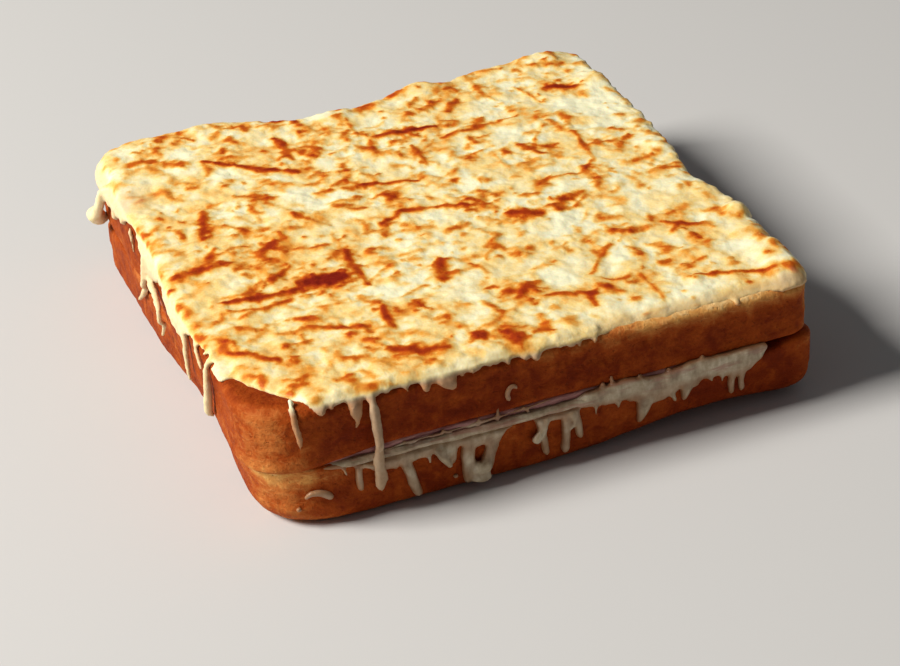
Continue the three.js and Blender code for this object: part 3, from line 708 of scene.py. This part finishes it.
cheeseCurtain = [
    (-42.6, 13.1, 12.8), (-39.8, 13, 12.2), (-35.6, 12.9, 11.6), (-33.2, 12.9, 9.8),
    (-29.6, 12.9, 9.2), (-27.2, 12.9, 10.2), (-25, 12.9, 10), (-23.2, 12.9, 9.8),
    (-21.6, 12.9, 10.8), (-20.2, 12.9, 7.2), (-18.2, 12.9, 7), (-16.8, 12.9, 10.4),
    (-13.8, 12.9, 9.2), (-9.8, 12.9, 8.6), (-6.8, 12.9, 11.2), (-5, 12.9, 12), (-3, 12.9, 12),
    (-1, 12.9, 11.4), (1.4, 12.9, 10.6), (4.4, 13, 10.4), (7, 13.4, 11.6), (9.4, 14.4, 11.2),
    (12.4, 14.6, 10.8), (14.4, 15, 10.6), (16.4, 15.3, 10.8), (18.4, 15.2, 10), (20.4, 14.6, 8.6),
    (22.6, 14.2, 8.2), (24.6, 14.2, 8.2), (26.6, 14.4, 9), (28.6, 14.8, 9.8), (31.4, 15.4, 9.4),
    (33.4, 15.4, 10.8), (36, 15.2, 10.6), (38.6, 15, 10), (41, 15.1, 9.4), (43, 15.2, 10),
    (45, 15.2, 11.9), (46.8, 15.1, 13.9),
]
toppingCurtain = [
    (58, 24.4), (55, 23.6), (50, 22.6), (46, 22.2), (41, 22), (36, 22.6), (32, 23.4), (27, 25),
    (20, 25.4), (16, 24), (13.4, 20.6), (11, 18.6), (8, 19.6), (5, 21), (2, 22.4), (-2, 24.2),
    (-7, 25), (-11, 23.6), (-14, 22.6), (-18, 23), (-22, 23), (-26, 25), (-30, 25.6), (-38, 25.6),
    (-47, 25.6),
]
# Runs of cheese: (from, to, upper height, lower height, (width at the top, at the tip)), and
# how far out where it isn't 0
cheeseRuns = [
    (-36.2, -36.7, 12.8, 6, (1.6, 1.3)), (-27.6, -26.2, 12.4, 1, (2.6, 1.9)),
    (-14.6, -16.3, 12.6, 1, (3.2, 2.4)), (-8.8, -13.5, 12.6, 1, (3.2, 2.4)),
    (-0.6, 0.1, 13, 2.8, (2.4, 1.3)), (5.2, 3.8, 13, 2.1, (2.2, 1.6)),
    (6.2, 7.4, 13, 4.6, (2.8, 1.2)), (22.2, 19.6, 12.6, 4.3, (5, 1.5)),
    (30.6, 29.3, 12.6, 6.6, (3.4, 1.3)), (39.3, 39.5, 13, 4.9, (1.9, 1.2)),
    (42, 41.5, 13, 5.1, (1.8, 1.1)),
]
# Finer strings between them: (points along the wall and up it, (width at the start, at the end))
fillingStrands = [
    ([(-15.6, 3.2), (-13.6, 2.2), (-11.6, 2.8)], (2.2, 1.8)),
    ([(-15, 5.2), (-13.2, 4.6), (-11.2, 5.2)], (2.8, 2.6)),
    ([(-20.6, 12), (-20.4, 9.6), (-19.1, 6.3)], (2.6, 1.1)),
    ([(-22, 11), (-19.4, 9.2), (-17.4, 10.8)], (1.2, 1.2)),
    ([(-8.4, 16.2), (-8.7, 11.6)], (0.6, 0.8)), ([(-0.4, 9), (-1.5, 8), (-2.3, 6.8)], (1.2, 1.9)),
    ([(1.2, 12), (0.2, 9.4), (-0.4, 7.6)], (1.1, 0.9)),
    ([(5.4, 12.4), (6.6, 9.2), (5, 7.6)], (1.1, 0.8)),
    ([(-44, 13), (-40, 12.4), (-36, 12), (-32, 10.6)], (0.8, 1)),
    ([(-31, 12.4), (-24, 11.4), (-17, 12.4), (-10, 12)], (0.8, 0.8)),
    ([(-30, 10.8), (-22, 12.6), (-12, 11.8)], (0.7, 0.8)),
    ([(-26, 9.8), (-25, 11.4), (-21, 12.8)], (0.9, 0.7)),
    ([(9.6, 12.6), (13.6, 13.8), (18, 12.4)], (0.8, 0.8)),
    ([(18.4, 14.6), (20.2, 12.2), (24, 11)], (0.8, 0.8)),
    ([(26, 12.8), (30, 11.2), (35, 12.4), (40, 11.6)], (0.9, 0.8)),
    ([(41, 13.6), (44, 12.6), (46.4, 13.6)], (0.8, 0.7)), ([(34.2, 12.2), (35, 9.8)], (0.9, 0.6)),
    ([(37.2, 11.6), (37, 9)], (0.8, 0.5)), ([(15.6, 11.6), (15.2, 9.6)], (0.9, 0.6)),
    ([(26.6, 9.6), (27.2, 7.4)], (1.1, 0.7)), ([(-39, 12.6), (-38.8, 10.6)], (0.9, 0.6)),
    ([(10.8, 11.6), (10.6, 9.4)], (0.8, 0.5)), ([(-22.8, 10.4), (-23, 8.4)], (0.8, 0.5)),
    ([(-34, 13.2), (-26, 13.9), (-17, 13.8), (-8, 14.5)], (0.6, 0.6)),
    ([(-16, 13.4), (-7, 14.2), (3, 15)], (0.6, 0.6)), ([(-27.4, 14.4), (-24.6, 12.8)], (0.6, 0.7)),
    ([(-19.8, 14.8), (-17.6, 12.8)], (0.6, 0.7)), ([(-12.2, 15.2), (-12.6, 13)], (0.6, 0.8)),
    ([(-3.6, 15.4), (-2.2, 13.2)], (0.6, 0.8)),
]
cheeseStrings = [
    (12.3, 12.6, 16, 12.5, (0.9, 1.3)), (14, 14.4, 17, 13, (0.9, 1.2)),
    (17, 17, 15.5, 13, (0.8, 1.2)), (20, 20.4, 15.6, 12.6, (0.9, 1.2)),
    (33, 33, 16.2, 13, (0.9, 1.4)), (26, 26.3, 15.4, 12.6, (0.8, 1.2)),
]
toppingRuns = [
    (-48.1, -47.2, 27.6, 17.8, (1.5, 1.1), (-0.6, 0)), (-43, -42.8, 27.2, 24.1, (4.4, 1.4)),
    (-39.6, -39.4, 27.2, 25.2, (2.6, 1.2)), (-37, -36.6, 27.2, 21.8, (2.8, 1.2)),
    (-34.7, -36.7, 27.2, 19.4, (1.5, 1.1)), (-30.4, -30.3, 27.2, 25.6, (2.4, 1.2)),
    (-22.9, -22.6, 27, 23.4, (2.6, 1.4)), (-19.7, -17.2, 27.2, 22.4, (6, 2.2)),
    (-13.4, -13.3, 27.2, 24.8, (3, 1.4)), (-6.4, -6.3, 27.2, 25.7, (2.6, 1.3)),
    (-1, -0.6, 27, 24, (3.4, 1.4)), (4.2, 4.3, 27.2, 25.6, (2.8, 1.4)),
    (40.9, 41, 26.3, 24.4, (2, 1.1), (-0.9, -0.4)),
]
longDrip = (-33.2, -33, 27, 5.2, (2.6, 3.6), (0.4, 1.7))
leftRuns = [(36.4, 37, 23, 20.6, (3, 1.6)), (28.4, 28.6, 25.4, 23.2, (2.4, 1.3))]
# Strings on the left wall: (points, (width at the start, at the end), how far out, thickness)
leftStrands = [
    ([(42, 26.6), (45, 21.6), (49.4, 17), (51.4, 14.8)], (1.8, 2.8), (1.6, 2.4), 1.6),
    ([(49.8, 17), (52.2, 13.8)], (4, 4.3), (2.3, 2.5), 2.1),
    ([(9.6, 26.9), (12.4, 22.4), (13.3, 17.6), (16.4, 13.4), (21.4, 8.8)], (1.9, 1.3), (0.8, 2.2)),
    ([(12.8, 18.4), (8, 18), (2.4, 19), (-2.6, 18.3), (-1.4, 14), (2.4, 9.6)], (1.8, 1), (0.8, 2)),
    ([(-1.6, 26.6), (-10, 24.8), (-16.4, 22.9), (-21.4, 22.2)], (1.7, 1.2), 0.9),
    ([(-20.6, 26.6), (-24.6, 22.4), (-24.9, 18.2), (-26.4, 14.2)], (1.7, 1), (0.7, 1.3)),
    ([(-36.2, 26.9), (-40.4, 24.8), (-41.2, 21.6), (-39.5, 14.2)], (1.3, 2), (0.6, 1.3)),
    ([(-25.4, 26.6), (-32, 24.6), (-36.4, 21.8)], (1.2, 0.8), 0.5, 0.8),
    ([(24, 25), (22.6, 22), (23.4, 18.6)], (1.1, 0.8), 0.4, 0.8),
]
# Runs drawn at random: (from, to), how many, upper heights, lower heights, widths
drawnPlans = {
    "toppingFront": ((-46, 13), 30, (27, 27.2), (24.4, 26), (1.2, 3)),
    "toppingRight": ((-54, 52), 4, (26.6, 27), (22.4, 25.2), (4, 9)),
    "toppingBack": ((-50, 50), 4, (26.6, 27), (21, 25), (4, 10)),
    "cheeseRight": ((-44, 50), 3, (12.4, 13), (3.5, 8), (2, 4)),
    "cheeseBack": ((-46, 48), 3, (12.4, 13), (4, 8), (2, 4)),
}
hiddenCurtain = {
    "Right": (-38, 46), "Back": (-41, 40), "count": 14, "high": 12.9, "low": (8.6, 11.6),
}


def drawFrom(state):
    while True:
        state = state * 48271 % 2147483647
        yield state / 2147483647


draw = drawFrom(17)


def between(pair):
    return pair[0] + (pair[1] - pair[0]) * next(draw)


def drawnCurtain(first, last):
    count, high, span = (hiddenCurtain[k] for k in ("count", "high", "low"))
    lows = [span[1]] + [between(span) for _ in range(count - 2)] + [span[1]]
    return [(first + (last - first) * i / (count - 1), high, low) for i, low in enumerate(lows)]


def drawnRuns(name):
    (first, last), count, highs, lows, widths = drawnPlans[name]
    made = []
    for i in range(count):
        start = first + (last - first) / count * (i + 0.2 + 0.6 * next(draw))
        width = between(widths)
        end = start + (next(draw) - 0.5) * 1.5
        high, low = between(highs), between(lows)
        made.append((start, end, high, low, (width, width * (0.35 + 0.3 * next(draw)))))
    return made


def runsOn(layer, wall, runs, **settings):
    return [runMesh(layer, wall, *run, **settings) for run in runs]


filling = {
    "voxel": 0.34, "smoothing": 3, "depth": 0.9, "relief": 0.14, "sheetCells": 90, "sheetRows": 5,
}
lower, upper = layers["lower"], layers["upper"]
parts = [curtainMesh(lower, "front", cheeseCurtain, filling["depth"])]
parts += runsOn(lower, "front", cheeseRuns, bulb=0.12)
parts += runsOn(upper, "front", cheeseStrings)
parts += [strandMesh(lower, "front", *strand, out=1.0) for strand in fillingStrands]
for side in ("Right", "Back"):
    curtain = drawnCurtain(*hiddenCurtain[side])
    parts.append(curtainMesh(lower, side.lower(), curtain, filling["depth"]))
    parts += runsOn(lower, side.lower(), drawnRuns("cheese" + side))
drips = fusedMesh("fillingDrips", parts, filling["voxel"], filling["smoothing"])
points = pointsOf(drips)
unevenness = filling["relief"] * field(points, 0.45, 6.0)
movePoints(drips, points + pointsOf(drips, "normal") * unevenness[:, None])
setAttribute(drips, "thin", thinness(pointsOf(drips)))
piece("fillingDrips", drips, melt, "melted_cheese", "cheese_filling")
sheet = layerMesh("fillingSheet", layers["cheese"], filling["sheetCells"], filling["sheetRows"],
                  lambda p: 0.5 * field(p, (0.16, 0.16, 0.3), 8.0) + 0.25 * field(p, 0.7, 4.0),
                  crowding=1.3)
setAttribute(sheet, "thin", np.zeros(len(sheet.vertices)))
piece("fillingSheet", sheet, melt, "melted_cheese", "cheese_filling")
print("filling made")

# Browned shreds that stand out: (width, darkness, points)
mainShreds = [
    (1.5, 0.95, [(-36, 41.5), (-30.5, 36.8), (-25, 31.5), (-18.8, 27.4)]),
    (2, 1, [(1.4, 35.7), (8, 35.4), (14.6, 34.4)]), (2.2, 1, [(44.8, 42), (49.6, 39)]),
    (1.5, 0.95, [(-8.6, 15), (-3.4, 13.4), (2.4, 11.4)]),
    (1.3, 0.8, [(-11, -4), (-5, -0.6), (3.3, -2), (9, -5)]),
    (2.5, 1, [(14.2, -11.6), (19.8, -14.6)]),
    (2, 0.95, [(-48.8, -21.4), (-40, -22.8), (-33, -22.6)]),
    (4.8, 1.5, [(-31.2, -20.8), (-26.4, -22)]), (3.4, 0.95, [(-55, -7.6), (-50, -6)]),
    (2.6, 0.95, [(-36, -4.6), (-32.4, -1.2)]),
    (1.8, 0.9, [(-53, -39.6), (-49, -43.6), (-45.4, -47)]),
    (2.2, 0.85, [(-36.8, -37.6), (-31, -40.6), (-26.4, -42.8)]),
    (2.4, 0.9, [(-25, -52.4), (-20.6, -56), (-16, -57)]), (3.2, 0.95, [(-10, -54), (-8.4, -56)]),
    (3, 0.95, [(-3.6, -56.6), (-2.6, -59.4)]), (2.2, 0.85, [(-5, -22.6), (-7.6, -31.8)]),
    (1.6, 0.8, [(-21, -11.6), (-21.6, -27)]), (1.8, 0.85, [(-21.6, -37), (-22.6, -44.6)]),
    (1.6, 0.8, [(7.8, -47), (12, -48), (17, -49.6)]), (2.4, 0.8, [(3.2, -45), (6.4, -41.6)]),
    (1.3, 0.75, [(15.8, -49), (15.2, -54.6)]), (1.2, 0.65, [(19.4, -42.2), (23, -38), (27, -33)]),
    (1.1, 0.75, [(37, -52), (43, -54.3), (51, -57.4)]), (1.9, 0.8, [(40.4, -29), (46, -33.4)]),
    (1.1, 0.65, [(26, -0.8), (35, -1), (39.4, 4), (41, 18)]),
    (1.3, 0.7, [(14.4, 28.8), (22, 29.4), (32, 31)]), (1.6, 0.8, [(28, 17), (30.4, 11)]),
    (1.4, 0.75, [(7, 27.6), (6.6, 18)]), (2.2, 0.8, [(20, 40.6), (24, 46)]),
    (1.5, 0.8, [(-18.6, 45.6), (-18, 33.6)]), (1.6, 0.8, [(-12.4, 53), (-11.8, 49)]),
    (1.7, 0.8, [(-42.6, 18), (-45.6, 6)]), (1.8, 0.75, [(-31.6, 18.4), (-27.4, 18)]),
    (1.8, 0.75, [(-26, 8.6), (-23.6, 5)]), (1.4, 0.75, [(-49, -25), (-42, -27), (-37, -25.6)]),
    (2, 0.8, [(-38, -33.4), (-34.6, -35.6)]), (1.6, 0.75, [(-33, -13), (-38, -17)]),
    (1, 0.6, [(27.5, -47), (28, -57)]),
]
# Where the cheese stays pale: (x, y, radius)
paleSpots = [
    (-3, 23, 5), (26, 22, 6), (-3, -7, 6.5), (-15, -33, 6.5), (-15, -12, 4.5), (27, -7, 5.5),
    (20, -40, 6.5), (34, 21, 5), (51, 29, 9), (-29, 34, 4.5), (-41, -32, 4.5), (15, -58, 9),
    (40, 34, 6.5), (25, -22, 5), (-7, -39, 5.5), (4, 44, 5.5), (37, 48, 4.5), (-54, 37, 9),
    (48, -26, 5.5), (48, -14, 4.5), (-21, 17, 4), (34, -58, 9), (50, -48, 6), (-44, 30, 4),
    (10, 4, 4), (-48, 2, 3.5), (12, 50, 4),
]
shreds = {
    "seed": 5, "count": 820, "length": (1, 6), "width": (1.4, 2.9), "dark": (0.16, 0.66),
    "threads": 14, "threadLength": (5, 12), "threadWidth": (0.6, 0.9), "threadDark": (0.25, 0.6),
    "specks": 220, "speckLength": (0.4, 1.2), "speckWidth": (0.5, 1.1), "speckDark": (0.2, 0.6),
    "gold": (-0.06, 0.2), "cell": 0.22, "reach": 66,
}


def cloudMap(rng, size):
    # unevenness from 0 to 1 over the drawing, in lumps of about size millimetres
    reach, cell = shreds["reach"], shreds["cell"]
    knots = rng.random((int(2 * reach / size) + 3,) * 2)
    place = np.arange(int(2 * reach / cell)) * cell / size
    low = place.astype(int)
    share = smooth(0, 1, place - low)
    rows = knots[low] * (1 - share)[:, None] + knots[low + 1] * share[:, None]
    return rows[:, low] * (1 - share) + rows[:, low + 1] * share


def strokeAt(rng, x, y, length, bend):
    angle = rng.choice([rng.normal(0.1, 0.45), rng.normal(1.7, 0.5), rng.uniform(0, np.pi)])
    step = np.array([math.cos(angle), math.sin(angle)]) * length / 2
    side = np.array([-step[1], step[0]]) * rng.normal(0, bend)
    middle = np.array([x, y])
    return bent([middle - step, middle + side * 0.5, middle + step], rng)


def bent(line, rng):
    # the same line with more points, wavering a little
    line = np.array(line, float)
    waver = 0.022 * min(8, np.linalg.norm(line[-1] - line[0]))
    count = 5 * (len(line) - 1) + 1
    place = np.linspace(0, len(line) - 1, count)
    return resampled(line, range(len(line)), place) + rng.normal(0, waver, (count, 2))


def heatMap():
    # how browned the gratin is over the drawing, painted stroke by stroke
    rng = np.random.default_rng(shreds["seed"])
    reach, cell = shreds["reach"], shreds["cell"]
    size = int(2 * reach / cell)
    ys, xs = np.mgrid[0:size, 0:size] * cell - reach
    pale = sum(0.9 * nearness(xs, ys, (x, y), r * 1.3) for x, y, r in paleSpots)
    kept = np.clip(1 - pale, 0, 1)
    cloud = smooth(0.25, 0.8, 0.5 * cloudMap(rng, 7) + 0.5 * cloudMap(rng, 3))
    low, high = shreds["gold"]
    heat = low + (high - low) * cloud * (0.4 + 0.6 * kept)
    heat = heat + 0.05 * smooth(0, -50, xs) + 0.03 * smooth(-40, -58, ys)
    grit, blot = cloudMap(rng, 0.9), cloudMap(rng, 2.2)

    def paint(line, width, dark, halo):
        line = np.array(line, float)
        margin = 1.6 * width + 2 * halo + 0.5
        first = np.clip(((line.min(0) - margin + reach) / cell).astype(int), 0, size - 2)
        last = np.clip(((line.max(0) + margin + reach) / cell).astype(int) + 2, 1, size)
        window = (slice(first[1], last[1]), slice(first[0], last[0]))
        place = np.stack([xs[window], ys[window]], -1)
        away, share = np.full(place.shape[:2], 1e9), np.zeros(place.shape[:2])
        for i in range(len(line) - 1):
            step = line[i + 1] - line[i]
            t = np.clip(((place - line[i]) @ step) / (step @ step), 0, 1)
            d = np.linalg.norm(place - line[i] - t[..., None] * step, axis=-1)
            share = np.where(d < away, (i + t) / (len(line) - 1), share)
            away = np.minimum(d, away)
        away = away * (0.62 + 0.76 * grit[window])
        knots = max(4, int(np.linalg.norm(line[-1] - line[0]) / 1.6))
        uneven = np.interp(share, np.linspace(0, 1, knots), rng.uniform(0.5, 1.35, knots))
        half = width / 2 * (0.5 + 0.5 * np.sin(np.pi * (0.1 + 0.8 * share))) * uneven
        fade = np.minimum(0.25 + 0.85 * uneven, 1) * (0.72 + 0.4 * blot[window])
        core = dark * fade * np.exp(-1.2 * (away / half) ** 2.2)
        glow = 0.3 * dark * np.exp(-((away / (half + halo)) ** 2))
        heat[window] = 1 - (1 - heat[window]) * (1 - core) * (1 - glow)

    def skewed(pair, power):
        return rng.uniform(0, 1) ** power * (pair[1] - pair[0]) + pair[0]

    for width, dark, line in mainShreds:
        paint(bent(line, rng), width * 1.5, dark * 0.98, 1.4)
    made = 0
    while made < shreds["count"]:
        places = rng.uniform((-60, -64), (59, 61), (2, 2))
        cells = ((places + reach) / cell).astype(int)
        x, y = places[np.argmin(heat[cells[:, 1], cells[:, 0]])]
        left = kept[int((y + reach) / cell), int((x + reach) / cell)]
        crowd = (0.7 + 0.3 * smooth(50, -20, x)) * left**1.5
        crowd *= smooth(-63, -56, y) if x > -20 else 1
        if rng.random() > crowd:
            continue
        made += 1
        length, dark = skewed(shreds["length"], 1.6), skewed(shreds["dark"], 1.5)
        stroke = strokeAt(rng, x, y, length, 0.5)
        width = rng.uniform(*shreds["width"])
        paint(stroke, width, dark * (0.75 + 0.25 * crowd), rng.uniform(0.5, 1.5))
    for kind, across, deep, bend, halo in (("thread", (-58, 57), (-58, 59), 0.35, 0.5),
                                           ("speck", (-60, 59), (-62, 61), 0, 0.3)):
        for _ in range(shreds[kind + "s"]):
            x, y, length = (rng.uniform(*span) for span in (across, deep, shreds[kind + "Length"]))
            stroke = strokeAt(rng, x, y, length, bend)
            width, dark = (rng.uniform(*shreds[kind + size]) for size in ("Width", "Dark"))
            paint(stroke, width, dark, halo)
    return np.clip(heat, 0, 1)


def readMap(values, points):
    # the map's values at points, blended between its cells
    place = (points[:, :2] + shreds["reach"]) / shreds["cell"]
    place = np.clip(place, 0, values.shape[0] - 2.001)
    low = place.astype(int)
    fx, fy = (place - low).T
    x, y = low.T
    return (values[y, x] * (1 - fx) * (1 - fy) + values[y, x + 1] * fx * (1 - fy)
            + values[y + 1, x] * (1 - fx) * fy + values[y + 1, x + 1] * fx * fy)


topping = {
    "cells": 110, "rows": 8, "low": 25.2, "high": 27.3, "stand": {"round": 0.9, "front": 0.7},
    "bare": {"from": (8, 18), "to": (52, 46), "pull": 0.8, "fall": 0.6, "low": 1, "tan": 0.45},
    "skirt": {"round": 25.5, "front": 26}, "frontFall": 0.7, "curtainTop": 26.4, "depth": 1.1,
    "swell": 0.4, "lumps": 0.55, "shred": 0.3, "shade": 0.55, "jag": 0.9,
    "voxel": 0.46, "smoothing": 2, "triangles": 190000,
}
rimLumps = [
    ((-32, 59), 7, 0.8), ((-5, 53), 9, 1), ((18, 57), 10, 1.6), ((49, 58), 9, 0.9),
    ((56, 41), 9, 1.2), ((55, 3), 8, 1), ((54, -18), 8, 0.7), ((56, -31), 5, 1.7),
    ((55, -40), 7, 0.8), ((55, -49), 9, 1.6), ((54, -57), 8, 1.4),
]


def sheetMesh():
    # the gratin's slab: rounded over the rim, with a ragged skirt
    mesh = griddedBox("gratinSheet", topping["cells"], topping["cells"], topping["rows"])
    u, v, w = pointsOf(mesh).T
    turn, ring = squareTurn(u, v)
    edge = outlineAt(tables["gratin"], turn)
    outward = unit(edge)
    onWall = ring > nearlyOne
    front = smooth(0.45, 0.65, -outward[:, 1])
    right = front * smooth(*topping["bare"]["from"], edge[:, 0])
    bare = right * smooth(*topping["bare"]["to"], edge[:, 0])
    down = (1 - w) / 2
    rag = noiseAt(*edge.T * 0.9, 0.3) + 0.7 * noiseAt(*edge.T * 0.3, 5)
    skirt, proud = (topping[k]["round"] * (1 - front) + topping[k]["front"] * front
                    for k in ("skirt", "stand"))
    low = skirt + rag * (0.45 - 0.15 * front) - topping["bare"]["low"] * right
    proud = proud * (1 - 0.95 * bare)
    stand = proud * np.sqrt(np.clip(1 - (1 - 1.6 * down) ** 2, 0, 1)) - 0.4 * smooth(0.6, 1, down)
    distance = halfLoaf * (1 - ring) ** 1.2
    inset = np.where(onWall, 0.3 - stand, 0.3 + distance)
    inset += topping["bare"]["pull"] * bare * (1 + 0.5 * rag)
    inset += topping["jag"] * rag * smooth(0.6, 0.8, outward[:, 0]) * smooth(3, 0, distance)
    frontFall = topping["frontFall"] * front + topping["bare"]["fall"] * bare
    fall = 0.4 * np.clip(1 - distance / 2.5, 0, 1) ** 2
    high = topping["high"] - fall - frontFall * np.clip(1 - distance / 5, 0, 1) ** 2
    z = np.where(onWall, high + (low - high) * down, np.where(w > 0, high, topping["low"]))
    return movePoints(mesh, np.column_stack([edge - outward * inset[:, None], z]))


def toppingRelief(points, heat):
    swell = field(points, (0.035, 0.035, 0), 2.5)
    across, along = field(points, (0.1, 0.2, 0), 5.1), field(points, (0.2, 0.1, 0), 9.7)
    lumps = sum(share * field(points, (size, size, 0), seed)
                for share, size, seed in ((0.5, 0.3, 1.3), (0.35, 0.65, 7.3), (0.2, 1.3, 4.1)))
    rise = topping["swell"] * (0.5 * swell + np.maximum(across, along)) + topping["lumps"] * lumps
    for at, radius, height in rimLumps:
        rise += height * nearness(*points.T[:2], at, radius)
    return rise + topping["shred"] * (heat - 0.2)


heat = heatMap()
print("browning painted")
curtain = [(along, topping["curtainTop"], low) for along, low in toppingCurtain]
parts = [sheetMesh(), curtainMesh(upper, "left", curtain, topping["depth"], ragged=0.8)]
parts += runsOn(upper, "front", toppingRuns + drawnRuns("toppingFront"))
parts.append(runMesh(upper, "front", *longDrip, waist=0.55, bulb=0.1))
parts += runsOn(upper, "left", leftRuns)
parts += [strandMesh(upper, "left", *strand) for strand in leftStrands]
parts += runsOn(upper, "right", drawnRuns("toppingRight"))
parts += runsOn(upper, "back", drawnRuns("toppingBack"))
cover = fusedMesh("gratinCover", parts, topping["voxel"], topping["smoothing"])
points, upright = pointsOf(cover), pointsOf(cover, "normal")
spare = (upright[:, 2] < -0.8) & (np.abs(points[:, 2] - topping["low"]) < 0.5)
facing = smooth(0.2, 0.8, upright[:, 2]) * smooth(25.4, 26.6, points[:, 2])
points[:, 2] += toppingRelief(points, readMap(heat, points)) * facing
sideways = (0.2 * field(points, 0.5, 3.3) + 0.1 * field(points, 1.3, 6.1)) * (1 - facing) * ~spare
movePoints(cover, points + upright * sideways[:, None])
cover = thinnedMesh(cover, topping["triangles"], spare)
points = pointsOf(cover)
x, y, z = points.T
facing = smooth(25.6, 26.7, z)
rim = 0.16 * smooth(-57, -62, y) * smooth(-30, 0, x)
bare = smooth(*topping["bare"]["from"], x)
hanging = smooth(-58.8, -59.8, y) * smooth(-44, -46, x)
browning = readMap(heat, points) * facing * (1 - hanging) + rim + 0.1 * (1 - facing)
setAttribute(cover, "browning", browning)
# runs on the front wall below the rim, except at the bare right end, are marked for the painted
# shade colours
setAttribute(cover, "run", smooth(-58.5, -60.5, y) * smooth(26.4, 25.4, z) * (1 - bare))
tan = 0.32 * smooth(-56, -57, x) * smooth(-60, -58.8, x) * smooth(26.6, 25.4, z)
# a tan patch at the back left of the curtain: painted shade
tan = np.maximum(tan, topping["shade"] * nearness(x, y, (-56.5, 31), 10))
bareTan = (topping["bare"]["tan"] + 0.25 * smooth(44, 54, x)) * bare * smooth(-58.5, -61, y)
setAttribute(cover, "tan", np.maximum(tan, bareTan))
wall, thin = z < 25.8, np.zeros(len(z))
thin[wall] = thinness(points[wall])
setAttribute(cover, "thin", thin * smooth(25.8, 25, z) * (1 - 0.6 * smooth(-55.5, -56.5, x)))
piece("gratinCover", cover, gratin, "browned_cheese", "cheese_topping")
print("gratin made")

dabs = {"voxel": 0.22, "smoothing": 2, "out": 0.22, "upperDepth": 0.6, "lowerDepth": 0.7}
upperDabs = [([(-6.6, 17), (-7.1, 18.6), (-6.5, 20), (-5.5, 20.2), (-4.9, 19.2)], (1.1, 0.9))]
lowerDabs = [
    ([(-47.4, 6.8), (-46, 8), (-44.4, 8), (-43, 7.2), (-42.3, 6)], (0.8, 1.8)),
    ([(-48.9, 4.9), (-48.5, 4.2)], (1, 1)), ([(-18.6, 4.2), (-18.3, 3.5)], (1, 0.9)),
]
parts = [strandMesh(upper, "front", *dab, dabs["out"], dabs["upperDepth"]) for dab in upperDabs]
parts += [strandMesh(lower, "front", *dab, dabs["out"], dabs["lowerDepth"]) for dab in lowerDabs]
dabMesh = fusedMesh("cheeseDabs", parts, dabs["voxel"], dabs["smoothing"])
setAttribute(dabMesh, "thin", 0.4 + 0.5 * thinness(pointsOf(dabMesh)))
piece("cheeseDabs", dabMesh, melt, "melted_cheese")
print("dabs made")

# Places and sizes in metres
studio = {
    "floor": (0.64, 0.63, 0.61), "floorSize": 4, "floorDrop": 0.0002, "sky": (0.95, 0.97, 1.0),
    "skyStrength": 0.1, "lamp": (-1.19, 0.13, 1.06), "aim": (0, 0, 0.015), "lampSize": 0.6,
    "watts": 37.5, "lampColour": (1, 0.97, 0.93),
}


def makeStudio():
    bm = bmesh.new()
    bmesh.ops.create_grid(bm, x_segments=1, y_segments=1, size=studio["floorSize"])
    mesh = meshFrom(bm, "floor")
    f = Finish("floorPaint")
    colour = f.mixed(f.grain(60, 2, 0.5) * 0.1, studio["floor"], (0.6, 0.6, 0.6))
    mesh.materials.append(f.surface(Base_Color=colour, Roughness=0.8))
    floor = addObject("floor", mesh)
    floor.location.z = -studio["floorDrop"]
    world = bpy.data.worlds.new("sky")
    world.use_nodes = True
    sky = world.node_tree.nodes["Background"]
    sky.inputs["Color"].default_value = (*studio["sky"], 1)
    sky.inputs["Strength"].default_value = studio["skyStrength"]
    bpy.context.scene.world = world
    data = bpy.data.lights.new("keyLamp", "AREA")
    data.size, data.energy, data.color = (studio[k] for k in ("lampSize", "watts", "lampColour"))
    lamp = addObject("keyLamp", data)
    lamp.location = studio["lamp"]
    aim = Vector(studio["aim"]) - Vector(studio["lamp"])
    lamp.rotation_euler = aim.to_track_quat("-Z", "Y").to_euler()
    view = bpy.context.scene.view_settings
    view.view_transform, view.look, view.exposure, view.gamma = "Standard", "None", 0.0, 1.0


makeStudio()
print("studio made")
